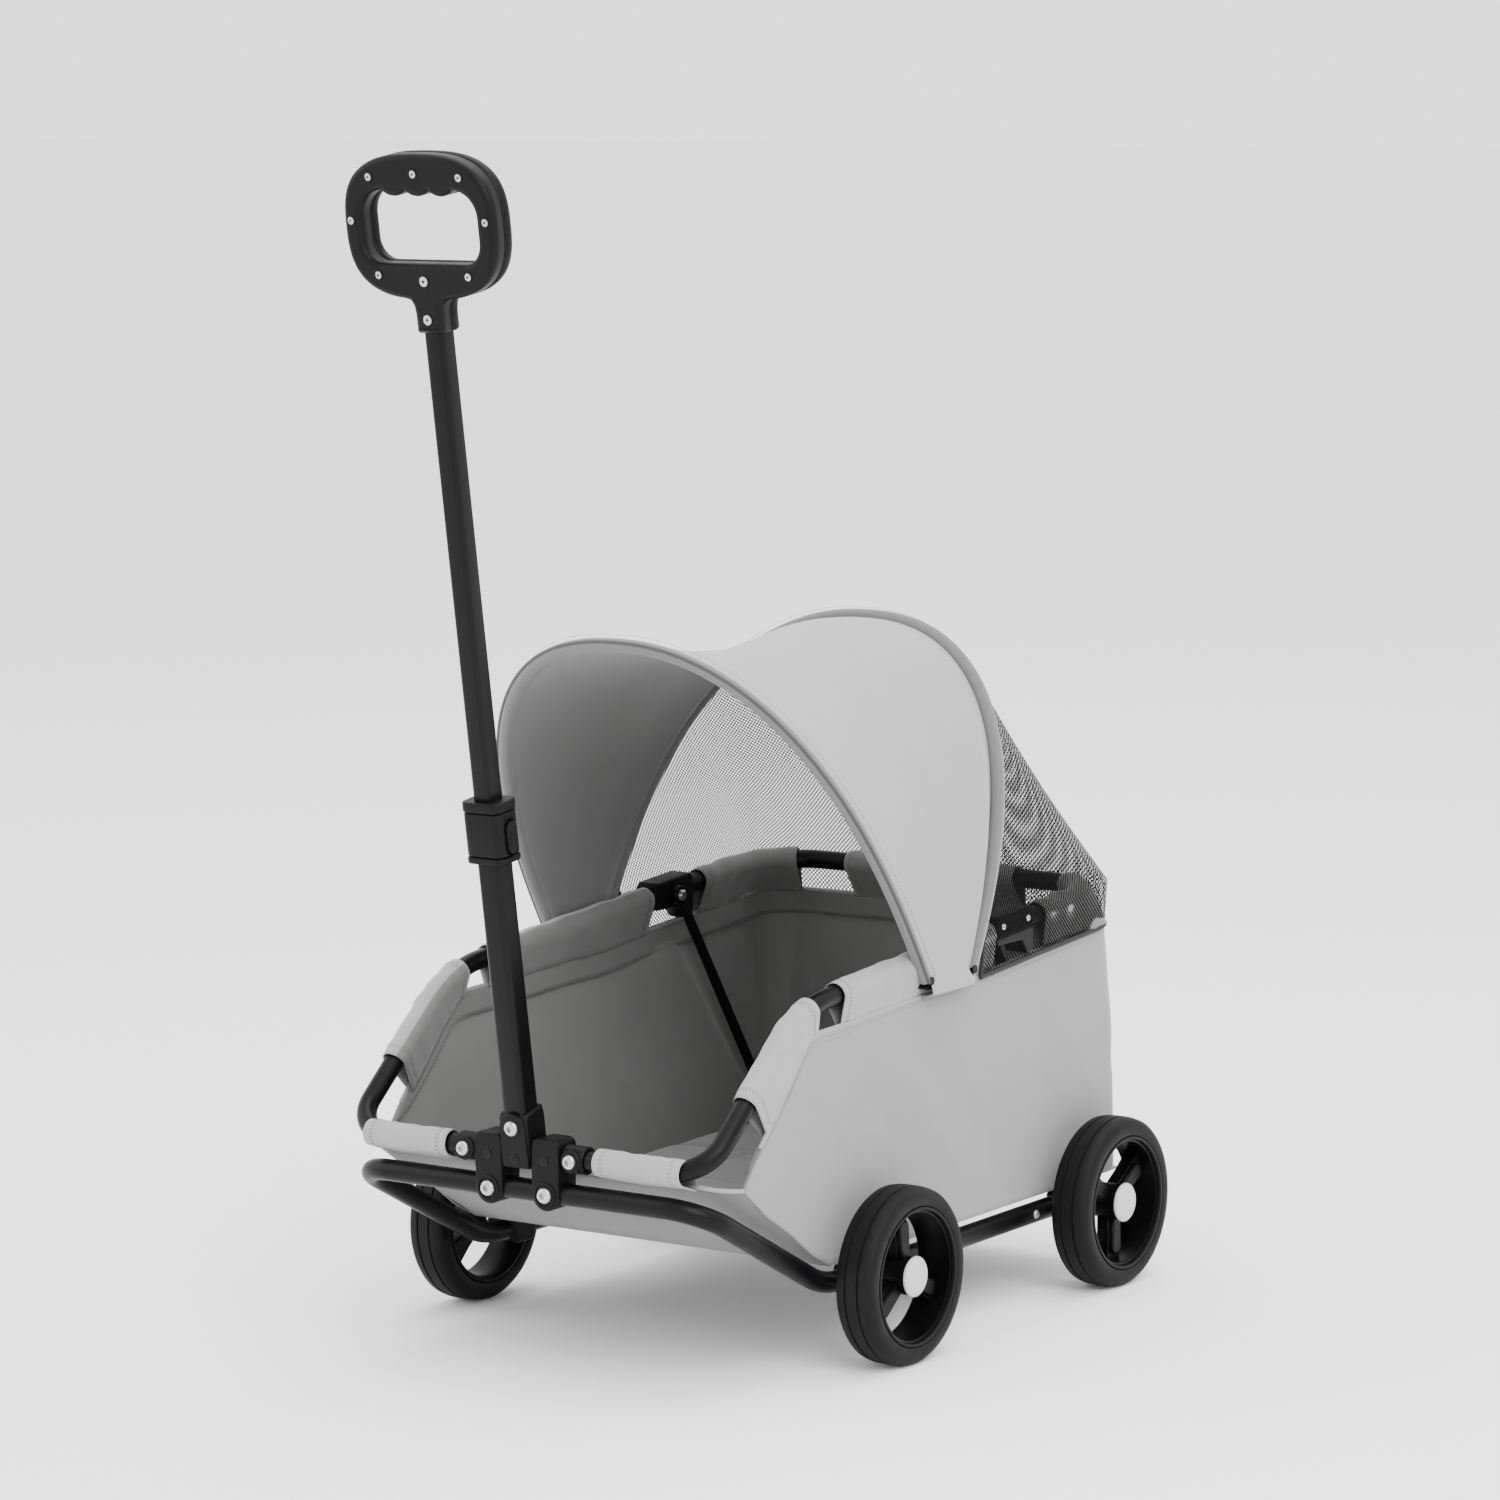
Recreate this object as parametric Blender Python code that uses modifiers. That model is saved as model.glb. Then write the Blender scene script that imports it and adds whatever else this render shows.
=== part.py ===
"""Four-wheeled pull-along pet stroller: tube chassis, drop-down upper frame, telescoping pull handle,
hammock basket, two-bow canopy and mesh screen.

Design lengths are millimetres. X is to the right, Y runs back from the front axle and Z is up from the
ground. at() turns a design point into metres in the part's own frame.
"""

import math

import bmesh
import bpy
from mathutils import Matrix, Vector

MM = 0.001
ORIGIN_Y = 32.8  # the middle of the object's length, behind the front axle
GAP = 0.4  # clearance kept between pieces that touch

# Wheels
WHEEL_R = 70.0
TYRE_HALF = 17.2
RIM_R = 55.0
TRACK_HALF = 207.0
REAR_AXLE_Y = 315.5
AXLE_R = 4.0
CAP_R = 16.0

# Lower frame, one closed loop of bent tube
LOWER_R = 8.5
LOWER_X = 165.0
LOWER_FRONT = (-206.0, 152.0)
LOWER_KNEE = (-45.0, 65.0)
LOWER_REAR = (382.0, 65.0)

# Upper frame, one closed loop that turns in the hub
UPPER_R = 8.0
UPPER_X = 168.0
HINGE = (-205.0, 180.0)
UPPER_KNEE = (-78.0, 287.0)
UPPER_REAR = (372.0, 320.0)

# Hub between the two front rails
HUB_FRONT = -217.0
HUB_BACK = -193.0
BRACKET_X = (14.0, 40.0)
BRACKET_TOP = 195.0
EYE = (26.9, 151.8, 12.5)
COLLAR_X = (40.6, 60.6)
COLLAR_R = 10.8
KNUCKLE_HALF = 13.2

# Pull handle, measured along the pole from the hinge
POLE_TILT = math.radians(8.0)
OUTER_SIDE = 21.0
INNER_SIDE = 17.5
TUBE_WALL = 1.3
OUTER_SPAN = (16.0, 268.0)
CLAMP_SPAN = (232.0, 280.0)
INNER_SPAN = (236.0, 655.0)
NECK_BOTTOM = 637.0
GRIP_CENTRE = 716.0
GRIP_HALF = (69.0, 54.0)
GRIP_HOLE_HALF = (53.0, 27.0)
GRIP_DEPTH = 25.0

# Stay bars that prop the upper frame
STAY_X = 152.0
STAY_TOP = (215.0, 308.0)
STAY_FOOT = (346.7, 100.0)
STAY_WIDTH = 9.0
STAY_THICK = 4.0

# Canopy bows: base (y, z), half width, height, lean back in radians
BOW_R = 3.5
BOW_HALF = 180.5
FRONT_BOW = ((80.0, 286.5), 314.0, math.radians(-30.5))
REAR_BOW = ((143.0, 286.5), 290.0, math.radians(26.9))
BOW_SIDE_POWER = 0.886
BOW_TOP_POWER = 0.78

# Fabric
PANEL_X = 171.0
PANEL_THICK = 3.0
CLOTH = 1.6
FLOOR_Z = 80.0
MAT_TOP = 110.0
SCREEN_X = 181.5


def at(x, y, z):
    return Vector((x, y - ORIGIN_Y, z)) * MM


def clear_scene():
    for obj in list(bpy.data.objects):
        bpy.data.objects.remove(obj, do_unlink=True)


def collection(name):
    made = bpy.data.collections.new(name)
    bpy.context.scene.collection.children.link(made)
    return made


def material(name, colour, roughness, metallic=0.0):
    made = bpy.data.materials.new(name)
    made.use_nodes = True
    shader = made.node_tree.nodes["Principled BSDF"]
    shader.inputs["Base Color"].default_value = (*colour, 1.0)
    shader.inputs["Roughness"].default_value = roughness
    shader.inputs["Metallic"].default_value = metallic
    made.diffuse_color = (*colour, 1.0)
    return made


def add_object(name, data, finish, group):
    obj = bpy.data.objects.new(name, data)
    if finish is not None:
        data.materials.append(finish)
    group.objects.link(obj)
    return obj


def fillet(corners, radii, closed=False, steps=6):
    """A path through the corners, each rounded to its radius by a circular arc."""
    corners = [Vector(c) for c in corners]
    count = len(corners)
    path = []
    for i, corner in enumerate(corners):
        if not closed and i in (0, count - 1) or radii[i] <= 0:
            path.append(corner)
            continue
        before = (corners[i - 1] - corner).normalized()
        after = (corners[(i + 1) % count] - corner).normalized()
        half = before.angle(after) / 2
        reach = radii[i] / math.tan(half)
        centre = corner + (before + after).normalized() * (radii[i] / math.sin(half))
        start = corner + before * reach - centre
        end = corner + after * reach - centre
        for k in range(steps + 1):
            path.append(centre + start.slerp(end, k / steps) * radii[i])
    return path


def fillet_2d(corners, radii, steps=5):
    flat = fillet([(x, y, 0.0) for x, y in corners], radii, True, steps)
    return [(p.x, p.y) for p in flat]


def circle(cx, cy, radius, steps=20):
    turns = [2 * math.pi * k / steps for k in range(steps)]
    return [(cx + radius * math.cos(t), cy + radius * math.sin(t)) for t in turns]


def mirrored_loop(half):
    """Closes a path given for the right side, from the middle of the front to the middle of the rear."""
    left = [Vector((-p.x, p.y, p.z)) for p in reversed(half) if abs(p.x) > 1e-6]
    return half + left


def tube(name, points, radius, finish, group, closed=False, resolution=2):
    curve = bpy.data.curves.new(name, "CURVE")
    curve.dimensions = "3D"
    curve.bevel_depth = radius * MM
    curve.bevel_resolution = resolution
    curve.use_fill_caps = not closed
    spline = curve.splines.new("POLY")
    spline.points.add(len(points) - 1)
    for place, point in zip(spline.points, points):
        place.co = (*at(*point), 1.0)
    spline.use_cyclic_u = closed
    return add_object(name, curve, finish, group)


def as_mesh(obj, placed, weld):
    """Replaces a curve object by a mesh object of the same shape, its caps welded, then placed."""
    graph = bpy.context.evaluated_depsgraph_get()
    mesh = bpy.data.meshes.new_from_object(obj.evaluated_get(graph))
    shape = bmesh.new()
    shape.from_mesh(mesh)
    bmesh.ops.remove_doubles(shape, verts=shape.verts, dist=weld)
    shape.transform(placed)
    if shape.calc_volume(signed=True) < 0:
        bmesh.ops.reverse_faces(shape, faces=shape.faces)
    shape.to_mesh(mesh)
    shape.free()
    name, group = obj.name, obj.users_collection[0]
    bpy.data.objects.remove(obj, do_unlink=True)
    made = bpy.data.objects.new(name, mesh)
    group.objects.link(made)
    return made


# Each frame takes a flat outline's (u, v) and its thickness direction w to design axes.
FACING = {
    "X": Matrix(((0, 0, 1), (1, 0, 0), (0, 1, 0))),
    "Y": Matrix(((1, 0, 0), (0, 0, 1), (0, 1, 0))),
    "Z": Matrix(((1, 0, 0), (0, 1, 0), (0, 0, 1))),
}


def slab(name, outlines, span, facing, finish, group):
    """Flat outlines, the first outside and the rest holes, extruded over span along the facing axis."""
    curve = bpy.data.curves.new(name, "CURVE")
    curve.dimensions = "2D"
    curve.fill_mode = "BOTH"
    curve.extrude = (span[1] - span[0]) / 2
    for outline in outlines:
        spline = curve.splines.new("POLY")
        spline.points.add(len(outline) - 1)
        for place, (u, v) in zip(spline.points, outline):
            place.co = (u, v, 0.0, 1.0)
        spline.use_cyclic_u = True
    obj = add_object(name, curve, finish, group)
    middle = FACING[facing] @ Vector((0, 0, (span[0] + span[1]) / 2))
    placed = Matrix.Translation(at(*middle)) @ FACING[facing].to_4x4() @ Matrix.Scale(MM, 4)
    return as_mesh(obj, placed, 0.001)


def turned(name, profile, centre, finish, group, steps=32):
    """A solid turned about the X axis through centre. The profile is (offset along X, radius)."""
    mesh = bpy.data.meshes.new(name)
    points = [(r * MM, 0.0, a * MM) for a, r in profile]
    edges = [(i, i + 1) for i in range(len(points) - 1)]
    if profile[0][1] > 0:
        edges.append((len(points) - 1, 0))
    mesh.from_pydata(points, edges, [])
    obj = add_object(name, mesh, finish, group)
    screw = obj.modifiers.new("turn", "SCREW")
    screw.steps = screw.render_steps = steps
    screw.use_merge_vertices = True
    screw.merge_threshold = 1e-5
    screw.use_normal_calculate = True
    obj.matrix_world = Matrix.Translation(at(*centre)) @ Matrix.Rotation(math.pi / 2, 4, "Y")
    return obj


def rod(name, start, end, radius, finish, group, sides=20):
    """A plain cylinder between two design points."""
    start, end = at(*start), at(*end)
    along = end - start
    shape = bmesh.new()
    bmesh.ops.create_cone(
        shape, cap_ends=True, segments=sides, radius1=radius * MM, radius2=radius * MM, depth=along.length
    )
    mesh = bpy.data.meshes.new(name)
    shape.to_mesh(mesh)
    shape.free()
    obj = add_object(name, mesh, finish, group)
    turn = along.to_track_quat("Z", "Y").to_matrix().to_4x4()
    obj.matrix_world = Matrix.Translation((start + end) / 2) @ turn
    return obj


def bevelled(obj, width, segments=2):
    edge = obj.modifiers.new("edges", "BEVEL")
    edge.width = width * MM
    edge.segments = segments
    edge.limit_method = "ANGLE"
    edge.angle_limit = math.radians(40)
    return obj


def cut(obj, cutter, operation="DIFFERENCE"):
    cutter.hide_render = True
    cutter.display_type = "WIRE"
    boolean = obj.modifiers.new(operation.lower(), "BOOLEAN")
    boolean.operation = operation
    boolean.solver = "EXACT"
    boolean.object = cutter
    return obj


def sheet(name, rows, thick, finish, group):
    """A grid of design points skinned and given a thickness to its outer side."""
    shape = bmesh.new()
    grid = [[shape.verts.new(at(*p)) for p in row] for row in rows]
    for lower, upper in zip(grid, grid[1:]):
        for k in range(len(lower) - 1):
            shape.faces.new((lower[k], lower[k + 1], upper[k + 1], upper[k]))
    mesh = bpy.data.meshes.new(name)
    shape.to_mesh(mesh)
    shape.free()
    obj = add_object(name, mesh, finish, group)
    wall = obj.modifiers.new("cloth", "SOLIDIFY")
    wall.thickness = thick * MM
    wall.offset = 1.0
    wall.use_even_offset = True
    return obj


def on_pole(x, v, w):
    """Design point from the pole's own axes: x across, v out of its back, w along it from the hinge."""
    s, c = math.sin(POLE_TILT), math.cos(POLE_TILT)
    return (x, HINGE[0] + v * c - w * s, HINGE[1] + v * s + w * c)


def lean_with_pole(obj):
    """Turns an upright piece built at the hinge so that it leans with the pole."""
    pivot = at(0, *HINGE)
    turn = Matrix.Translation(pivot) @ Matrix.Rotation(POLE_TILT, 4, "X") @ Matrix.Translation(-pivot)
    obj.matrix_world = turn @ obj.matrix_world
    return obj


def square_ring(side, radius, wall):
    """Outline of a rounded square tube and of its bore, centred on the pole."""
    rings = []
    for half, corner in ((side / 2, radius), (side / 2 - wall, radius - wall)):
        corners = [(-half, -half), (half, -half), (half, half), (-half, half)]
        rings.append([(x, y + HINGE[0]) for x, y in fillet_2d(corners, [corner] * 4, 3)])
    return rings


def rail_height(y):
    """Height of the upper side rail's centre line, behind the knee."""
    run = (y - UPPER_KNEE[0]) / (UPPER_REAR[0] - UPPER_KNEE[0])
    return UPPER_KNEE[1] + run * (UPPER_REAR[1] - UPPER_KNEE[1])


def bow_point(turn, base, height, lean, grow=0.0):
    """A point on a bow's arch, turn running from 0 at the right foot to pi at the left foot."""
    across = math.cos(turn)
    x = (BOW_HALF + grow) * math.copysign(abs(across) ** BOW_SIDE_POWER, across)
    rise = (height + grow) * max(math.sin(turn), 0.0) ** BOW_TOP_POWER
    return (x, base[0] + rise * math.sin(lean), base[1] + rise * math.cos(lean))


def bow_turns(count):
    return [math.pi * (0.5 - 0.5 * math.cos(math.pi * k / count)) for k in range(count + 1)]


def build_chassis(parts, cutters, paint, plastic, steel):
    half = fillet(
        [
            (0, *LOWER_FRONT),
            (LOWER_X, *LOWER_FRONT),
            (LOWER_X, *LOWER_KNEE),
            (LOWER_X, *LOWER_REAR),
            (0, *LOWER_REAR),
        ],
        [0, 34, 90, 28, 0],
    )
    tube("lower_frame", mirrored_loop(half), LOWER_R, paint, parts, closed=True)
    for side, sign in (("left", -1), ("right", 1)):
        build_hub_bracket(side, sign, parts, cutters, plastic, steel)
        build_stay_foot(side, sign, parts, cutters, plastic, steel)
        for end, y in (("front", 0.0), ("rear", REAR_AXLE_Y)):
            build_wheel_bracket(end, side, sign, y, parts, cutters, plastic, steel)


def build_hub_bracket(side, sign, parts, cutters, plastic, steel):
    x, z, r = EYE
    inner, outer = BRACKET_X
    lobe = [(x + r * math.cos(t), z + r * math.sin(t)) for t in (math.radians(a) for a in range(-180, 1, 18))]
    outline = lobe + [(outer - 0.6, 166.0), (outer, 170.0)]
    outline += [(outer, BRACKET_TOP - 6), (outer - 6, BRACKET_TOP), (inner + 6, BRACKET_TOP)]
    outline += [(inner, BRACKET_TOP - 6), (inner, 166.0)]
    outline = [(sign * u, v) for u, v in outline]
    block = slab(f"hub_bracket_{side}", [outline], (HUB_FRONT, HUB_BACK), "Y", plastic, parts)
    upper = rod(f"hub_upper_bore_{side}", (0, *HINGE), (sign * 60, *HINGE), UPPER_R + GAP, None, cutters)
    lower = rod(
        f"hub_lower_bore_{side}", (0, *LOWER_FRONT), (sign * 60, *LOWER_FRONT), LOWER_R + GAP, None, cutters
    )
    cut(block, upper)
    cut(block, lower)
    head = (sign * x, HUB_FRONT - GAP, z)
    bolt = rod(f"hub_bolt_{side}", head, (sign * x, HUB_FRONT - 3.2, z), 5.4, steel, parts)
    bevelled(bolt, 1.2)


def build_wheel_bracket(end, side, sign, y, parts, cutters, plastic, steel):
    outline = fillet_2d([(y - 19, 76), (y + 19, 76), (y + 12, 52), (y - 12, 52)], [4, 4, 7, 7], 3)
    span = sorted((sign * 155.5, sign * 182.0))
    block = slab(f"wheel_bracket_{end}_{side}", [outline], span, "X", plastic, parts)
    rail = rod(
        f"rail_bore_{end}_{side}",
        (sign * LOWER_X, y - 60, LOWER_KNEE[1]),
        (sign * LOWER_X, y + 60, LOWER_KNEE[1]),
        LOWER_R + GAP,
        None,
        cutters,
    )
    seat = rod(
        f"axle_seat_{end}_{side}",
        (sign * 177.0, y, WHEEL_R),
        (sign * 190.0, y, WHEEL_R),
        AXLE_R + 0.3,
        None,
        cutters,
    )
    cut(block, rail)
    cut(block, seat)
    rod(
        f"axle_{end}_{side}", (sign * 177.5, y, WHEEL_R), (sign * 219.0, y, WHEEL_R), AXLE_R, steel, parts, 24
    )


def build_stay_foot(side, sign, parts, cutters, plastic, steel):
    y, z = STAY_FOOT
    outline = [(154.9, 60), (175.6, 60), (175.6, 77.5), (159.5, 77.5), (159.5, z + 8), (154.9, z + 8)]
    outline = [(sign * u, v) for u, v in outline]
    foot = slab(f"stay_foot_{side}", [outline], (y - 7, y + 7), "Y", plastic, parts)
    rail = rod(
        f"foot_bore_{side}",
        (sign * LOWER_X, y - 30, LOWER_KNEE[1]),
        (sign * LOWER_X, y + 30, LOWER_KNEE[1]),
        LOWER_R + GAP,
        None,
        cutters,
    )
    cut(foot, rail)
    pin = rod(f"stay_foot_pin_{side}", (sign * 154.5, y, z), (sign * 147.0, y, z), 3.0, steel, parts, 16)
    head = rod(f"pin_head_{side}", (sign * 149.4, y, z), (sign * 146.4, y, z), 5.0, None, cutters, 16)
    cut(pin, head, "UNION")


def build_stay(side, sign, parts, cutters, paint):
    top, foot = Vector((0, *STAY_TOP)), Vector((0, *STAY_FOOT))
    along = (foot - top).normalized()
    angle = math.atan2(along.z, along.y)
    half, eye = STAY_WIDTH / 2, 8.0
    span = sorted((sign * (STAY_X - STAY_THICK / 2), sign * (STAY_X + STAY_THICK / 2)))
    bend = math.asin(half / eye)

    def eye_arc(centre, first, last):
        turns = [first + (last - first) * k / 10 for k in range(11)]
        return [(centre.y + eye * math.cos(t), centre.z + eye * math.sin(t)) for t in turns]

    outline = eye_arc(foot, angle - math.pi + bend, angle + math.pi - bend)
    outline += eye_arc(top, angle + bend, angle + 2 * math.pi - bend)
    bar = slab(f"stay_{side}", [outline], span, "X", paint, parts)
    reach = (sign * (STAY_X - 6), sign * (STAY_X + 6))
    pin = rod(f"stay_foot_hole_{side}", (reach[0], *STAY_FOOT), (reach[1], *STAY_FOOT), 3.4, None, cutters)
    stud = rod(f"stay_hook_seat_{side}", (reach[0], *STAY_TOP), (reach[1], *STAY_TOP), 3.5, None, cutters)
    y, z = STAY_TOP
    slot = [(y, z - 3.5), (y + 18, z - 7.5), (y + 18, z + 1.5), (y, z + 3.5)]
    mouth = slab(f"stay_hook_mouth_{side}", [slot], sorted(reach), "X", None, cutters)
    for cutter in (pin, stud, mouth):
        cut(bar, cutter)


def build_upper_frame(parts, cutters, paint, plastic, steel):
    half = fillet(
        [
            (0, *HINGE),
            (UPPER_X, *HINGE),
            (UPPER_X, *UPPER_KNEE),
            (UPPER_X, *UPPER_REAR),
            (0, *UPPER_REAR),
        ],
        [0, 32, 120, 55, 0],
    )
    tube("upper_frame", mirrored_loop(half), UPPER_R, paint, parts, closed=True)
    for side, sign in (("left", -1), ("right", 1)):
        build_hub_collar(side, sign, parts, cutters, plastic, steel)
        build_rail_bracket(side, sign, parts, cutters, plastic, steel)
        build_bow_bracket(side, sign, parts, cutters, plastic)


def build_hub_collar(side, sign, parts, cutters, plastic, steel):
    span = sorted((sign * COLLAR_X[0], sign * COLLAR_X[1]))
    outline = circle(*HINGE, COLLAR_R, 28)
    collar = slab(f"hub_collar_{side}", [outline], span, "X", plastic, parts)
    bore = rod(
        f"collar_bore_{side}", (sign * 30, *HINGE), (sign * 70, *HINGE), UPPER_R + GAP, None, cutters
    )
    middle = sign * sum(COLLAR_X) / 2
    boss = rod(
        f"collar_boss_{side}",
        (middle, HINGE[0] - 8, HINGE[1]),
        (middle, HUB_FRONT, HINGE[1]),
        9.2,
        None,
        cutters,
    )
    cut(collar, boss, "UNION")
    cut(collar, bore)
    front = (middle, HUB_FRONT - GAP, HINGE[1])
    bolt = rod(f"collar_bolt_{side}", front, (middle, HUB_FRONT - 3.2, HINGE[1]), 5.0, steel, parts)
    bevelled(bolt, 1.2)


def along_rail(y0, y1, sign):
    """The stretch of the upper side rail's centre line between two design depths."""
    return (sign * UPPER_X, y0, rail_height(y0)), (sign * UPPER_X, y1, rail_height(y1))


def build_rail_bracket(side, sign, parts, cutters, plastic, steel):
    y, z = STAY_TOP
    outline = [(y - 26, z - 11), (y - 26, z + 8), (y - 22, z + 12), (y + 25, z + 15.5), (y + 29, z + 12)]
    outline += [(y + 29, z - 19), (y + 25, z - 24), (y + 19, z - 22), (y + 12, z - 11)]
    span = sorted((sign * 157.6, sign * 178.0))
    bracket = slab(f"rail_bracket_{side}", [outline], span, "X", plastic, parts)
    bore = rod(f"rail_bracket_bore_{side}", *along_rail(150, 280, sign), UPPER_R + GAP, None, cutters)
    cut(bracket, bore)
    shank = rod(f"stay_stud_{side}", (sign * 157.2, y, z), (sign * 147.0, y, z), 3.0, steel, parts, 16)
    head = rod(f"stud_head_{side}", (sign * 149.4, y, z), (sign * 146.0, y, z), 5.0, None, cutters, 16)
    cut(shank, head, "UNION")


def build_bow_bracket(side, sign, parts, cutters, plastic):
    """A channel hung under the rail. Both bows' feet stand in it and turn in its outer wall."""
    inner, outer = 158.0, BOW_HALF + 6.4
    wall, gutter = outer - 2.2, BOW_HALF - 4.1
    outline = [(inner, 277), (outer, 277), (outer, 292), (wall, 292), (wall, 281.8), (gutter, 281.8)]
    outline += [(gutter, 294), (inner, 294)]
    outline = [(sign * u, v) for u, v in outline]
    span = (FRONT_BOW[0][0] - 9, REAR_BOW[0][0] + 9)
    block = slab(f"bow_bracket_{side}", [outline], span, "Y", plastic, parts)
    bore = rod(f"bow_bracket_bore_{side}", *along_rail(40, 190, sign), UPPER_R + GAP, None, cutters)
    cut(block, bore)
    for name, bow in (("front", FRONT_BOW), ("rear", REAR_BOW)):
        ends = (sign * (wall - 2), *bow[0]), (sign * (outer + 2), *bow[0])
        cut(block, rod(f"{name}_pivot_hole_{side}", *ends, BOW_R + 0.3, None, cutters))


def build_bow(name, bow, parts, cutters, finish):
    points = [bow_point(t, *bow) for t in bow_turns(28)]
    arch = as_mesh(tube(name, points, BOW_R, finish, parts), Matrix.Identity(4), 1e-6)
    for sign in (-1, 1):
        ends = (sign * (BOW_HALF - 2), *bow[0]), (sign * (BOW_HALF + 6.2), *bow[0])
        cut(arch, rod(f"{name}_pivot_{sign}", *ends, BOW_R - 0.1, None, cutters), "UNION")
    return arch


def build_canopy(parts, finish):
    """Cloth carried over both bows, open at the front and the rear."""
    rows = []
    for share in (0.0, 0.2, 0.4, 0.6, 0.8, 1.0):
        row = []
        for t in bow_turns(28):
            front = Vector(bow_point(t, *FRONT_BOW, 4.6))
            rear = Vector(bow_point(t, *REAR_BOW, 4.6))
            point = front.lerp(rear, 0.02 + 0.96 * share)
            row.append((point.x, point.y, max(point.z, 292.5)))
        rows.append(row)
    return sheet("canopy_cover", rows, CLOTH, finish, parts)


def screen_foot(turn, level):
    """A point on the mesh screen's edge round the back of the upper frame: level 0 is above the rail."""
    start, rear, corner = 168.0, 383.0, 55.0
    run = rear - corner - start
    quarter = corner * math.pi / 2
    across = SCREEN_X - corner
    total = run + quarter + across
    travel = abs(turn / math.pi - 0.5) * 2 * total
    if travel <= across:
        x, y = travel, rear
    elif travel <= across + quarter:
        angle = (travel - across) / corner
        x, y = across + corner * math.sin(angle), rear - corner + corner * math.cos(angle)
    else:
        x, y = SCREEN_X, rear - corner - (travel - across - quarter)
    x = math.copysign(x, math.pi / 2 - turn)
    top = rail_height(min(y, 372.0))
    height = top + 9.0 if level == 0 else top - 27.0
    return (x, y, height)


def build_screen(parts, finish):
    """Mesh from the rear bow down round the back of the upper frame."""
    turns = [math.pi * k / 36 for k in range(37)]
    rows = [[screen_foot(t, 1) for t in turns], [screen_foot(t, 0) for t in turns]]
    low, high = 0.085, math.pi - 0.085
    for share in (0.33, 0.66, 1.0):
        row = []
        for t in turns:
            foot = Vector(screen_foot(t, 0))
            bow = Vector(bow_point(min(max(t, low), high), *REAR_BOW, 4.0))
            bow.y += 6.5
            row.append(foot.lerp(bow, share))
        rows.append(row)
    return sheet("mesh_screen", rows, CLOTH, finish, parts)


def build_basket(parts, cloth, lining):
    side_outline = [(-139, 190), (-72, 262), (364, 290), (384, 84), (-42, FLOOR_Z), (-163, 161)]
    for side, sign in (("left", -1), ("right", 1)):
        span = sorted((sign * PANEL_X, sign * (PANEL_X + PANEL_THICK)))
        slab(f"side_panel_{side}", [side_outline], span, "X", cloth, parts)
    front = [(-188, 169), (-46, 83), (-46, 80), (-190, 166)]
    slab("front_panel", [front], (-160, 160), "X", lining, parts)
    floor = [(-147, -45), (147, -45), (147, 378), (-147, 378)]
    slab("floor_panel", [floor], (FLOOR_Z, FLOOR_Z + PANEL_THICK), "Z", cloth, parts)
    rear = [(-168, 84), (168, 84), (168, 292), (-168, 292)]
    slab("rear_panel", [rear], (381, 384), "Y", cloth, parts)
    mat = fillet_2d([(-145, -38), (145, -38), (145, 368), (-145, 368)], [18] * 4, 4)
    mat = slab("floor_mat", [mat], (FLOOR_Z + PANEL_THICK + GAP, MAT_TOP), "Z", lining, parts)
    bevelled(mat, 7.0, 3)


def build_handle(parts, cutters, paint, plastic, steel):
    x = KNUCKLE_HALF
    y, z = HINGE
    outline = circle(y, z, 11.6, 28)
    knuckle = slab("pole_knuckle", [outline], (-x, x), "X", plastic, parts)
    body = [(y - 12, z), (y + 12.5, z), (y + 12.5, z + 32), (y + 11, z + 37), (y - 12, z + 37)]
    stem = slab("knuckle_stem", [body], (-x, x), "X", None, cutters)
    bore = rod("knuckle_bore", (-30, y, z), (30, y, z), UPPER_R + GAP, None, cutters)
    rings = square_ring(OUTER_SIDE + 2 * GAP, 5.0, TUBE_WALL)
    socket = slab("knuckle_socket", rings[:1], (z + OUTER_SPAN[0] - GAP, z + 60), "Z", None, cutters)
    cut(knuckle, stem, "UNION")
    cut(knuckle, bore)
    cut(knuckle, socket)
    bolt = rod("pole_bolt", (0, y - 12 - GAP, z + 24.6), (0, y - 15.2, z + 24.6), 5.4, steel, parts)
    bevelled(bolt, 1.2)

    outer = slab(
        "outer_tube",
        square_ring(OUTER_SIDE, 4.6, TUBE_WALL),
        (z + OUTER_SPAN[0], z + OUTER_SPAN[1]),
        "Z",
        paint,
        parts,
    )
    inner = slab(
        "inner_tube",
        square_ring(INNER_SIDE, 4.0, TUBE_WALL),
        (z + INNER_SPAN[0], z + INNER_SPAN[1]),
        "Z",
        paint,
        parts,
    )
    clamp, button = build_clamp(parts, cutters, plastic)
    shells = build_grip(parts, cutters, plastic)
    for piece in (knuckle, bolt, outer, inner, clamp, button, *shells):
        lean_with_pole(piece)
    for cutter in cutters.objects:
        if cutter.name.startswith(("knuckle", "clamp", "grip")):
            lean_with_pole(cutter)


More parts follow.
